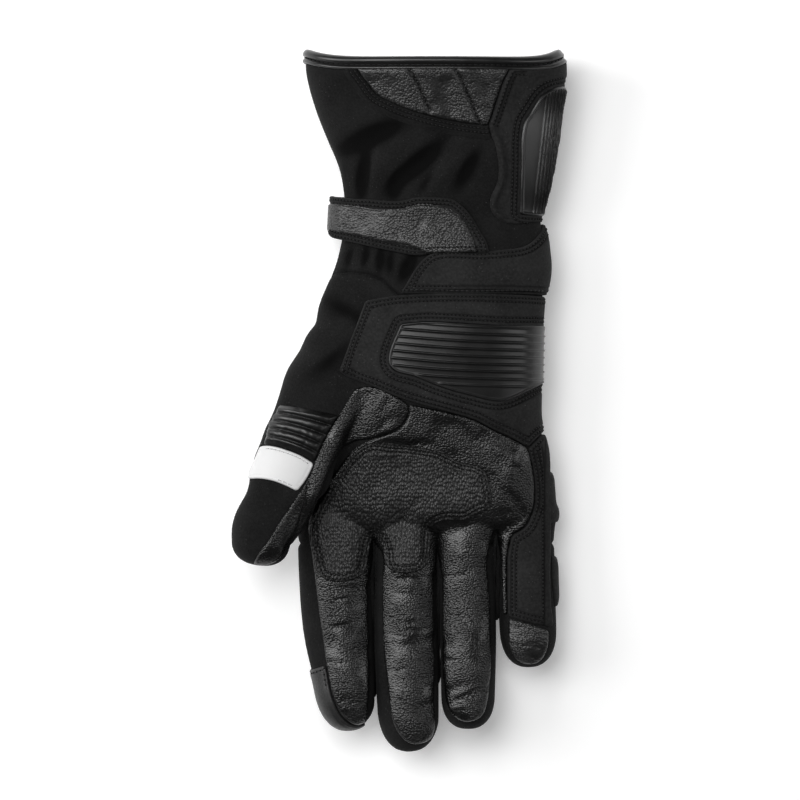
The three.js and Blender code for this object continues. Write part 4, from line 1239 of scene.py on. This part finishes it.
STRAP_BACK = [(-42, 95.4), (30, 96), (30, 77), (-42, 78.4)]
strap_y, strap_angle = np.arange(58, 107, 0.6), np.radians(np.arange(0, 360, 0.7))
strap = body_points(strap_y[:, None], strap_angle, STRAP_CURVE, []).reshape(-1, 3)
strap_faces = net_faces(len(strap_y), len(strap_angle))
strap -= normals_at(strap, strap_faces) * STRAP_THICKNESS
for i, point in enumerate(strap.tolist()):
    spot, normal, _, _ = skin_surface.find_nearest(Vector(point))
    if (Vector(point) - spot).dot(normal) < STRAP_CLEARANCE:
        strap[i] = spot + normal * STRAP_CLEARANCE
strap = relaxed(strap, strap_faces, 5)
strap_front, strap_back = smooth_outline(STRAP_FRONT), smooth_outline(STRAP_BACK)
cut = wrapped_panel(strap_front, strap_back, (-np.inf, 46), (64, 101), 0, base=(strap, strap_faces))
points, depth = cut.points, cut.depth
BACK_BORDER = 3.6  # the border's width where the strap can't be seen from above
inlay = plan_depth(points, smooth_outline(STRAP_INLAY))[0]
inlay = np.where(points[:, 2] > 20, inlay, depth - BACK_BORDER)
# painted shade along the sewn rows and along the inlay's edge
pull_and_painted_shade = sewn_in(depth, STRAP_ROWS) * (inlay < 0.2) + 0.8 * ridge(inlay, 0.4)
height = rounded(depth, 0.9, 2.0, 1.0) - 0.4 * pull_and_painted_shade
height += 0.3 * smooth_step(-0.4, 0.6, inlay) - 0.5 * ridge(inlay, 0.55)
height += wrinkles(points, [(-25, 30, 74, 90)], seed=5, count=10, length=8, width=2.5, depth=0.2,
                   direction=80)


def border_faces(mesh):
    """The faces of the folded textile: all but those on the inlay's top."""
    first = corners_of(mesh)[:, 0]
    return (first >= len(inlay)) | (inlay[np.minimum(first, len(inlay) - 1)] < 0)


def on_strap_edge(x, y):
    """Where the border's stitches show: not under the softshell, nor across the strap's root."""
    return (x > -33) & ((y > 70) | (x < 8) | (x > 33))


finish_strap = leather_finish("strap_leather", 14, 46, grain=(1.1, 1.0), gloss=0.36)
top = panel_piece("strap_leather", cut, height, 0.1, [finish_strap, finish_textile],
                  ["wrist_strap"], wraps=True, pull_and_painted_shade=pull_and_painted_shade, flat=(30, 140),
                  part_of=border_faces)
sew("strap_stitches", rows_beside(strap_front, STRAP_ROWS, surface_of(top), CUFF_PANEL_LOW, on_strap_edge))

# Heel of the hand
# A padded textile panel with a double row along its edge and another round the moulded
# rubber grip, whose thin level ribs catch the light.
HEEL_PANEL = [
    (-16, 45.5), (0, 48), (80, 48), (80, -15), (67.4, -15.4), (59, -22.4), (52, -18), (43.5, -14),
    (35, -9.5), (23.5, -6), (0, 0.6), (-13.5, 6.3), (-24.5, 10.3), (-28.5, 13),
]
HEEL_GRIP = [
    (0, 35), (11, 36), (31, 35.2), (47, 34.4), (68.3, 34.6), (68.3, 14), (66, 8.5), (58.5, 4),
    (46.5, -1), (31, 1.8), (17.5, 5.8), (7, 10), (-3.5, 13.5), (-5.5, 17),
]
heel_line, heel_grip_line = smooth_outline(HEEL_PANEL), smooth_outline(HEEL_GRIP)
cut = plan_panel(heel_line)
points, depth = cut.points, cut.depth
to_heel = plan_depth(points, heel_line)[0]
from_grip = -plan_depth(points, heel_grip_line)[0]
SLIMMER_X = (54, 64)  # both layers get thinner towards the outer edge
HEEL_GRIP_ROWS = (1.5, 3.3)
pull_and_painted_shade = sewn_in(to_heel, DOUBLE_ROW) + sewn_in(from_grip, HEEL_GRIP_ROWS)
height = rounded(depth, 0.8, 2.2, 2.4) + 0.5 * ridge(depth - 9, 6) - 0.45 * pull_and_painted_shade
height -= 0.3 * smooth_step(*SLIMMER_X, points[:, 0])
height += wrinkles(points, [(-25, 60, -15, 46)], seed=7, count=22, length=8, width=2.2, depth=0.22,
                   direction=-10)
top = panel_piece("heel_textile", cut, np.maximum(height, 0.4), 0.1, [finish_textile],
                  ["heel_panel"], pull_and_painted_shade=pull_and_painted_shade)
heel_surface = surface_of(top)
rows = rows_beside(heel_line, DOUBLE_ROW, heel_surface, PALM_LOW)
rows += rows_beside(heel_grip_line, np.negative(HEEL_GRIP_ROWS), heel_surface, PALM_LOW + 2)
sew("heel_stitches", rows)

cut = plan_panel(heel_grip_line, PALM_LOW, 2)
points, depth = cut.points, cut.depth
HEEL_RIB_PITCH, FIRST_RIB_Y = 3.35, 32.3
RIB_REACH = (7.6, 6.6)  # the last ribs fade out here, counted from the first
x, y = points[:, 0], points[:, 1]
rib_slope = 0.095 * x - 0.0008 * x * x
step = (y + rib_slope - FIRST_RIB_Y) / HEEL_RIB_PITCH
off_rib = (step - np.round(step)) * HEEL_RIB_PITCH
ribbed = smooth_step(1.2, 2.4, depth) * smooth_step(*RIB_REACH, np.abs(step))
height = rounded(depth, 2.3, 3.0, 0.8) + 0.45 * ridge(depth - 1.0, 0.4)
height += 0.7 * ridge(off_rib, 0.38) * ribbed - 0.6 * smooth_step(*SLIMMER_X, x)
panel_piece("heel_rubber", cut, height, 1.6, [finish_rubber], ["heel_grip"])

# Palm leather
# One skin of grained leather over the palm and down the fronts of three fingers, creased
# across by use, with a rough reinforcement stitched over the knuckle line.
PALM_LEATHER = [
    (4, -2.4), (23.5, -6.4), (35, -9.9), (43.5, -14.4), (52, -18.4), (58.6, -23), (61.2, -33.5),
    (62.2, -42.5), (61.2, -53), (57.6, -60), (52.2, -64), (50.6, -69.5), (50.1, -101), (48.6, -101),
    (48.2, -85), (46.6, -68), (44.6, -60), (41.6, -66), (41.4, -102), (41.6, -115.5), (41.2, -133.5),
    (40, -142.5), (37.4, -147.6), (32.5, -150), (28, -149.5), (24, -146.4), (21.6, -141.6),
    (20.6, -128), (20.2, -111), (20, -84), (17.2, -65.6), (14.8, -84), (15.2, -111), (15.4, -140),
    (15.6, -152), (13.6, -158), (8, -160.4), (4.5, -160), (1, -157.6), (-3, -151), (-5.5, -133.5),
    (-7.5, -116.5), (-8, -84), (-8.2, -72), (-12, -67), (-15.6, -84), (-15.4, -111), (-15.2, -130),
    (-15.6, -144), (-17, -150.6), (-20.5, -151.8), (-26, -148.6), (-30.5, -140.6), (-34, -125),
    (-38.5, -93.5), (-41.5, -68.5), (-42.6, -58.5), (-39.5, -50.4), (-33.5, -41), (-31.6, -36),
    (-26.6, -29), (-21.2, -23), (-14.7, -19.4), (-6.8, -16.4), (-0.6, -13.8), (3.8, -7.6),
]
palm_line = smooth_outline(PALM_LEATHER)
cut = plan_panel(palm_line)
points, depth = cut.points, cut.depth
# boxes of x and y
FINGER_FRONTS = [(-38, -16, -148, -90), (-7, 15, -156, -86), (21, 41, -148, -74)]
PALM_HOLLOW = [(10, 58, -62, -12), (-35, 10, -30, -20)]
PALM_FOLDS = [
    (31.4, -138.5, 25, 9, 1.3, -1.0), (30, -136, 20, 9, 1.6, 0.5), (52, -30, 70, 16, 3, 0.9),
    (46, -24, -35, 12, 2.5, 0.8), (48, -53, 8, 8, 2.2, -0.5), (31, -60, 20, 8, 2.4, -0.5),
    (-26, -88.5, 0, 11, 1.6, -0.7), (2, -83.6, 0, 9, 1.4, -0.6),
]
height = rounded(depth, 0.6, 1.6, 1.9)
height += wrinkles(points, FINGER_FRONTS, seed=11, count=46, length=7, width=0.9, depth=0.22, scatter=18)
height += wrinkles(points, FINGER_FRONTS, seed=12, count=20, length=9, width=3.4, depth=0.75, scatter=15)
height += wrinkles(points, PALM_HOLLOW, seed=13, count=26, length=9, width=2.6, depth=0.6, direction=-35,
                   scatter=40)
height += fold_height(PALM_FOLDS, points[:, 0], points[:, 1])
panel_piece("palm_skin", cut, np.maximum(height, 0.2), 0.1, [finish_leather], ["palm_leather"],
            flat=(118, 165))

PALM_PATCH = [
    (-15, -20.5), (-4, -21), (6.5, -22), (17.5, -24), (28, -29), (36, -31), (39.5, -33.5), (41.5, -40),
    (42.5, -47), (41, -50.5), (36, -52.5), (30.5, -55.5), (19.5, -56), (14, -58.5), (13, -63),
    (12, -74.5), (10.5, -78.5), (7.5, -80.5), (-3.6, -80.3), (-6, -77.5), (-7, -71), (-8.6, -66),
    (-12, -64), (-15.6, -66), (-16.8, -74.5), (-18.4, -81.6), (-22.5, -84.3), (-31.5, -85.2),
    (-36.6, -83), (-39.8, -74.5), (-41.6, -60), (-40, -55), (-37, -49), (-31, -39), (-27, -32),
    (-21.5, -25),
]


def patch_finish():
    rough = Finish("rough_patch", specular_ior_level=0.45)
    swirl = rough.noise(7, 2)
    lumps = 1 - rough.cells(1.0, rough.scaled(1.0, 1.75, 1.4), randomness=0.75) * 1.25
    # painted light and shade: the lumps are lighter and the gaps between them near black; sewn-in rows get
    # painted shade
    tone = rough.blend(lumps.clamped(0.25, 0.9), grey(1), grey(42))
    rough.set(base_color=rough.blend(rough.painted("pull_and_painted_shade") * PAINTED_SHADE_SHARE, tone, grey(PAINTED_SHADE_GREY)),
              roughness=swirl * 0.2 + (1 - lumps) * 0.2 + 0.26)
    rough.relief(lumps + swirl * 1.4, 1.0, 0.45)
    return rough.material


patch_line = smooth_outline(PALM_PATCH)
PATCH_ROWS = (1.5, 3.2)
cut = plan_panel(patch_line)
points, depth = cut.points, cut.depth
pull_and_painted_shade = sewn_in(depth, PATCH_ROWS)
height = rounded(depth, 1.9, 3.0, 1.2) - 0.55 * pull_and_painted_shade
height += wrinkles(points, [(-35, 40, -80, -24)], seed=17, count=26, length=9, width=3.0, depth=0.5,
                   direction=80, scatter=40)
top = panel_piece("palm_patch_sheet", cut, height, 1.1, [patch_finish()], ["palm_patch"],
                  pull_and_painted_shade=pull_and_painted_shade, flat=(86, 66))
sew("patch_stitches", rows_beside(patch_line, PATCH_ROWS, surface_of(top), PALM_LOW))

# Thumb
# The front is leather, with a rolled seam down its inner side; the outer side has stitched
# rolls that let it bend, a reflective band and a textile tip.
THUMB_LEATHER = [
    (-21, 5), (-27.5, -6), (-32, -12.5), (-38.5, -26), (-43.5, -38.5), (-48.5, -46), (-56, -57),
    (-60.5, -64.5), (-65, -70.5), (-68, -76), (-62, -76), (-56.6, -73.6), (-52.6, -69), (-49, -62.6),
    (-44.4, -54.6), (-40, -46.5), (-36.5, -38.5), (-32, -29), (-27, -22.4), (-21.5, -19.5),
    (-15, -18.6), (-7, -16), (-1, -13.3), (3.4, -7.4), (3.6, -2.4), (0, 0.1), (-13.5, 5.8),
]
TIP_Y, TIP_LOW = [-56, -46], [33, 0]  # the tip's leather ends higher, clear of the index finger


def over_tip(points, normals):
    return points[:, 2] - np.interp(points[:, 1], TIP_Y, TIP_LOW)


cut = plan_panel(smooth_outline(THUMB_LEATHER), also=over_tip)
points, depth = cut.points, cut.depth
ROLLED_SEAM = [
    (-19.4, 0.1), (-28.2, -13.4), (-34.9, -28.3), (-39, -39.8), (-43, -49.3), (-47.1, -58),
    (-49.5, -67.5),
]
FRONT_SEAM = [(-42.6, -37.5), (-43.9, -45.9), (-49.8, -62), (-52.5, -67.5), (-57.2, -77)]
on_roll, along = line_distance(points, ROLLED_SEAM)
on_seam, _ = line_distance(points, FRONT_SEAM)
height = rounded(depth, 0.6, 1.5, 1.8) + 1.5 * ridge(on_roll, 2.2) * smooth_step(0.0, 0.2, along)
height -= 1.2 * ridge(on_seam, 0.9) + 0.5 * ridge(on_roll - 4.6, 1.6)
height += wrinkles(points, [(-26, 4, -18, 4)], seed=19, count=12, length=9, width=2.6, depth=0.5,
                   direction=60, scatter=30)
panel_piece("thumb_front", cut, np.maximum(height, 0.15), 0.1, [finish_leather],
            ["thumb_leather"], wraps=True, flat=(40, 95))


def roll_finish():
    roll = Finish("rolled_leather", specular_ior_level=0.55)
    streak = roll.noise(1.0, 3, roll.scaled(5, 1.2, 2))
    tone = roll.blend(streak, grey(5), grey(12))
    # painted shade: near black in the grooves between the rolls
    roll.set(base_color=roll.blend(roll.painted("pull_and_painted_shade") * 0.95, tone, grey(1)),
             roughness=streak * 0.25 + 0.24)
    roll.relief(streak + roll.noise(0.7, 2) * 0.4, 0.4, 0.2)
    return roll.material


ACCORDION = [
    (-58.4, -2.9), (-51, -3.5), (-44, -4.6), (-36, -6), (-29, -7.6), (-32.4, -12.9), (-38.9, -25.6),
    (-40.0, -28.8), (-46, -25.3), (-53, -22.6), (-58, -21.2), (-63.0, -21.6),
]
ROLL_COUNT = 5
THUMB_SIDE_LOW = 36  # the rolls and the band below them end at this height on the thumb's side
ROLL_TOPS = [(-70, -1.2), (-58.6, -2.9), (-51, -3.5), (-44, -4.6), (-36, -6), (-29, -7.6)]
ROLL_ENDS = [(-70, -21.4), (-59, -21.1), (-53, -22.6), (-46, -25.2), (-40.2, -28.6), (-29, -36)]
cut = plan_panel(smooth_outline(ACCORDION, sharp=40), THUMB_SIDE_LOW, 2)
points, depth = cut.points, cut.depth
high = np.interp(points[:, 0], *np.array(ROLL_TOPS, float).T)
low = np.interp(points[:, 0], *np.array(ROLL_ENDS, float).T)
share = np.clip((high - points[:, 1]) / (high - low), 0, 0.9999) * ROLL_COUNT
bulge = np.sqrt(np.maximum(1 - (2 * (share % 1) - 1) ** 2, 0))
height = 0.5 + 1.9 * bulge**0.9 * np.clip(depth / 2.4, 0.02, 1) ** 0.7
height += wrinkles(points, [(-64, -30, -29, -3)], seed=23, count=30, length=2.5, width=1.0, depth=0.2,
                   direction=80, scatter=30)
# the grooves between the rolls get painted shade
panel_piece("thumb_rolls", cut, np.maximum(height, 0.3), 0.1, [roll_finish()],
            ["thumb_accordion"], pull_and_painted_shade=(1 - bulge) ** 2)


def reflector_finish():
    film = Finish("reflective_film", specular_ior_level=0.5)
    beads, cloud = film.cells(0.35), film.noise(8, 2)
    film.set(base_color=film.blend(cloud, grey(203), grey(211)), roughness=cloud * 0.15 + 0.42)
    film.relief(beads, 0.15, 0.05)
    return film.material


REFLECTOR = [
    (-64.6, -22.2), (-62, -21.8), (-58, -22.2), (-53, -23.6), (-46, -26.4), (-40.2, -30.0),
    (-43.6, -36.8), (-47.9, -42.6), (-52, -40.4), (-59.5, -37.6), (-66, -36.8), (-71, -37.2),
]
reflector_line = smooth_outline(REFLECTOR, sharp=40)
cut = plan_panel(reflector_line, THUMB_SIDE_LOW)
depth = cut.depth
height = rounded(depth, 0.5, 1.1, 0.8) - 0.2 * ridge(depth - 1.4, 0.4)
top = panel_piece("thumb_band", cut, height, 0.1, [reflector_finish()], ["thumb_reflector"],
                  wraps=True, flat=(36, 26))


def along_band(x, y):
    """Between the band's two ends, which lean apart."""
    lean = 0.42
    return (x > -62 - lean * (y + 23)) & (x < -43.5 + lean * (y + 29))


rows = rows_beside(reflector_line, [1.2], surface_of(top), THUMB_SIDE_LOW + 0.5, along_band)
sew("band_thread", rows, pitch=1.9, length=1.2, thickness=0.35, hole=0.5,
    thread=thread_finish("pale_thread", 150, 0.6))

# Outer edge and fingertips
# Textile runs along the little finger's edge under two padded bumps. The little finger's
# tip and the outer side of the index tip are leather.
EDGE_PANEL = [
    (59.4, -23.3), (61.9, -33.5), (62.9, -42.5), (61.9, -53), (58.4, -60.3), (52.9, -64.3),
    (51.3, -69.5), (50.8, -85), (50.8, -101.6), (65, -105.6), (71, -106.6), (69.8, -90), (69.8, -75.5),
    (70, -58), (69.6, -34.5), (68.8, -24), (67, -16.2),
]
EDGE_ROWS_END_X, BUMP_ROW_X = 66, 66.6  # past the edge's own rows, one runs along the bumps
edge_line = smooth_outline(EDGE_PANEL)
cut = plan_panel(edge_line)
points, depth = cut.points, cut.depth
pull_and_painted_shade = sewn_in(plan_depth(points, edge_line)[0], DOUBLE_ROW) * (points[:, 0] < EDGE_ROWS_END_X)
pull_and_painted_shade += sewn_in(points[:, 0], [BUMP_ROW_X])
height = rounded(depth, 0.5, 1.6, 1.8) - 0.4 * pull_and_painted_shade
height += wrinkles(points, [(52, 70, -100, -25)], seed=29, count=16, length=6, width=2, depth=0.2,
                   scatter=60)
top = panel_piece("edge_textile", cut, np.maximum(height, 0.3), 0.1, [finish_textile],
                  ["edge_panel"], pull_and_painted_shade=pull_and_painted_shade, flat=(22, 92))
edge_surface = surface_of(top)
rows = rows_beside(edge_line, DOUBLE_ROW, edge_surface, PALM_LOW, lambda x, y: x < EDGE_ROWS_END_X)
bump_row = np.stack([np.full(90, BUMP_ROW_X), np.linspace(-100, -33, 90)], 1)
sew("edge_stitches", rows + runs_of(bump_row, edge_surface, PALM_LOW))

LITTLE_TIP = [
    (50.8, -102.4), (51.4, -115.5), (55, -122), (59.5, -123.6), (64.6, -122.6), (68, -117.5),
    (69, -108.5), (65, -106.4),
]
cut = plan_panel(smooth_outline(LITTLE_TIP))
points, depth = cut.points, cut.depth
height = rounded(depth, 0.5, 1.5, 1.8)
height += wrinkles(points, [(52, 67, -122, -106)], seed=31, count=16, length=5, width=0.9, depth=0.25)
panel_piece("little_tip", cut, height, 0.1, [finish_light_leather], ["little_tip_leather"],
            flat=(20, 22))

INDEX_CAP = [
    (-50, -130.5), (-34.8, -124), (-31.3, -140.6), (-26.6, -149.6), (-21, -152.6), (-16.6, -151.6),
    (-14, -160), (-50, -160),
]
CAP_LOW, CAP_ROW = 12, 1.5
finish_smooth_leather = leather_finish("smooth_leather", 26, 40, gloss=0.45, relief=0.2)
cap_line = smooth_outline(INDEX_CAP)
cut = plan_panel(cap_line, CAP_LOW)
depth = cut.depth
height = rounded(depth, 0.5, 1.2, 1.4) - 0.3 * ridge(depth - CAP_ROW, 0.4)
top = panel_piece("index_tip", cut, height, 0.1, [finish_smooth_leather], ["index_cap"],
                  wraps=True, flat=(28, 46))
rows = rows_beside(cap_line, [CAP_ROW], surface_of(top), CAP_LOW + 1, lambda x, y: y > -133)
sew("index_tip_stitches", rows, pitch=2.2, length=1.7)

# y range and z range of each bump
EDGE_BUMPS = {"edge_pad_hand": (-58, -34.3, 7, 24), "edge_pad_finger": (-97.5, -74, 5, 22)}
BUMP_INNER_X, BUMP_ROUNDING = 67, 7
for node, (y_low, y_high, z_low, z_high) in EDGE_BUMPS.items():

    def bump_depth(points, normals):
        x, y, z = points.T
        return np.minimum.reduce([y - y_low, y_high - y, z - z_low, z_high - z, x - BUMP_INNER_X])

    def near_bump(centre):
        x, y = centre[:, 0], centre[:, 1]
        return (x > BUMP_INNER_X - 6) & (y > y_low - 4) & (y < y_high + 4)

    cut = cut_panel(bump_depth, near_bump)
    depth = cut.depth
    height = rounded(depth, 0.3, 2.0, BUMP_ROUNDING)
    panel_piece(node.replace("edge_pad", "outer_bump"), cut, height, 0.1, [finish_textile],
                [node], wraps=True)

# Fourchettes
# Narrow softshell strips set between the fingers, each with a pair of piped seams that
# ends in a small knot at the root of the fingers.
PIPE_RADIUS, PIPE_HEIGHT = 1.15, 21.6
# x and y where each pair of seams starts and ends
FINGER_GAPS = [(-11.7, -62.8, -13.2, -140), (17.1, -62.8, 16.5, -134), (45.8, -58.8, 44.2, -104)]
for number, (x_start, y_start, x_end, y_end) in enumerate(FINGER_GAPS, 1):
    t = np.linspace(0, 1, 90)[:, None]
    y = y_start + t * (y_end - y_start)
    radius = PIPE_RADIUS * np.sqrt(np.clip(np.minimum((t + 0.004) / 0.02, (1.004 - t) / 0.05), 0.01, 1))
    radius = radius * (1 + 0.45 * np.exp(-((t - 0.02) / 0.018) ** 2))
    turn = np.linspace(0, 2 * math.pi, 12, endpoint=False)
    strip = []
    for side, drop in ((-1, 0), (0, 2.2), (1, 0)):
        x = x_start + t * (x_end - x_start) + side * PIPE_RADIUS * 0.95 + 0.25 * np.sin(t * 21 + side)
        z = PIPE_HEIGHT - drop + 2.2 * np.exp(-t / 0.06) - 2.0 * t**2
        ring = [x + radius * np.cos(turn), y + 0 * turn, z + radius * np.sin(turn)]
        strip.append(tube(np.stack(ring, -1)))
    points = np.concatenate([part[0] for part in strip])
    faces = [[k + n * len(part[0]) for k in face] for n, part in enumerate(strip) for face in part[1]]
    faces = np.array([(*face, face[-1])[:4] for face in faces])
    piece = dressed(f"fourchette_{number}", points, faces, [finish_softshell])

# Floor, light and camera
# The glove lies on a plain pale table under large soft lamps, and is seen from above.
def table_finish():
    table = Finish("pale_table", roughness=0.9, specular_ior_level=0.2, emission_strength=0.22)
    table.shader.inputs["Emission Color"].default_value = (1, 1, 1, 1)
    table.set(base_color=table.blend(table.noise(300, 1), grey(246), grey(248)))
    return table.material


TABLE = 3000  # half its width
corners = [(-TABLE, -TABLE, 0), (TABLE, -TABLE, 0), (TABLE, TABLE, 0), (-TABLE, TABLE, 0)]
floor = mesh_of("floor", corners, [(0, 1, 2, 3)])
floor.materials.append(table_finish())
place("floor", floor)

# place, width and depth in metres, and power
LAMPS = {
    "overhead": ((-0.38, 0.40, 1.35), 0.9, 0.8, 13.5),
    "left_window": ((-1.15, 0.25, 0.75), 0.8, 0.8, 12),
    "right_fill": ((1.1, 0.15, 0.8), 0.6, 0.9, 4),
}
for name, (spot, width, depth_size, power) in LAMPS.items():
    lamp = bpy.data.lights.new(name, "AREA")
    lamp.shape, lamp.size, lamp.size_y, lamp.energy = "RECTANGLE", width, depth_size, power
    holder = place(name, lamp)
    holder.location = spot
    holder.rotation_euler = (-Vector(spot)).to_track_quat("-Z", "Y").to_euler()
    holder.visible_camera = False
sky = bpy.data.worlds.new("studio")
sky.use_nodes = True
sky.node_tree.nodes["Background"].inputs["Color"].default_value = (1, 1, 1, 1)
sky.node_tree.nodes["Background"].inputs["Strength"].default_value = 0.1
bpy.context.scene.world = sky
bpy.context.scene.view_settings.view_transform = "Standard"

lens = bpy.data.cameras.new("camera")
lens.lens, lens.sensor_width = 150, 36
camera = place("camera", lens)
camera.location = (-0.00018, -0.00015, 1.587)
bpy.context.scene.camera = camera
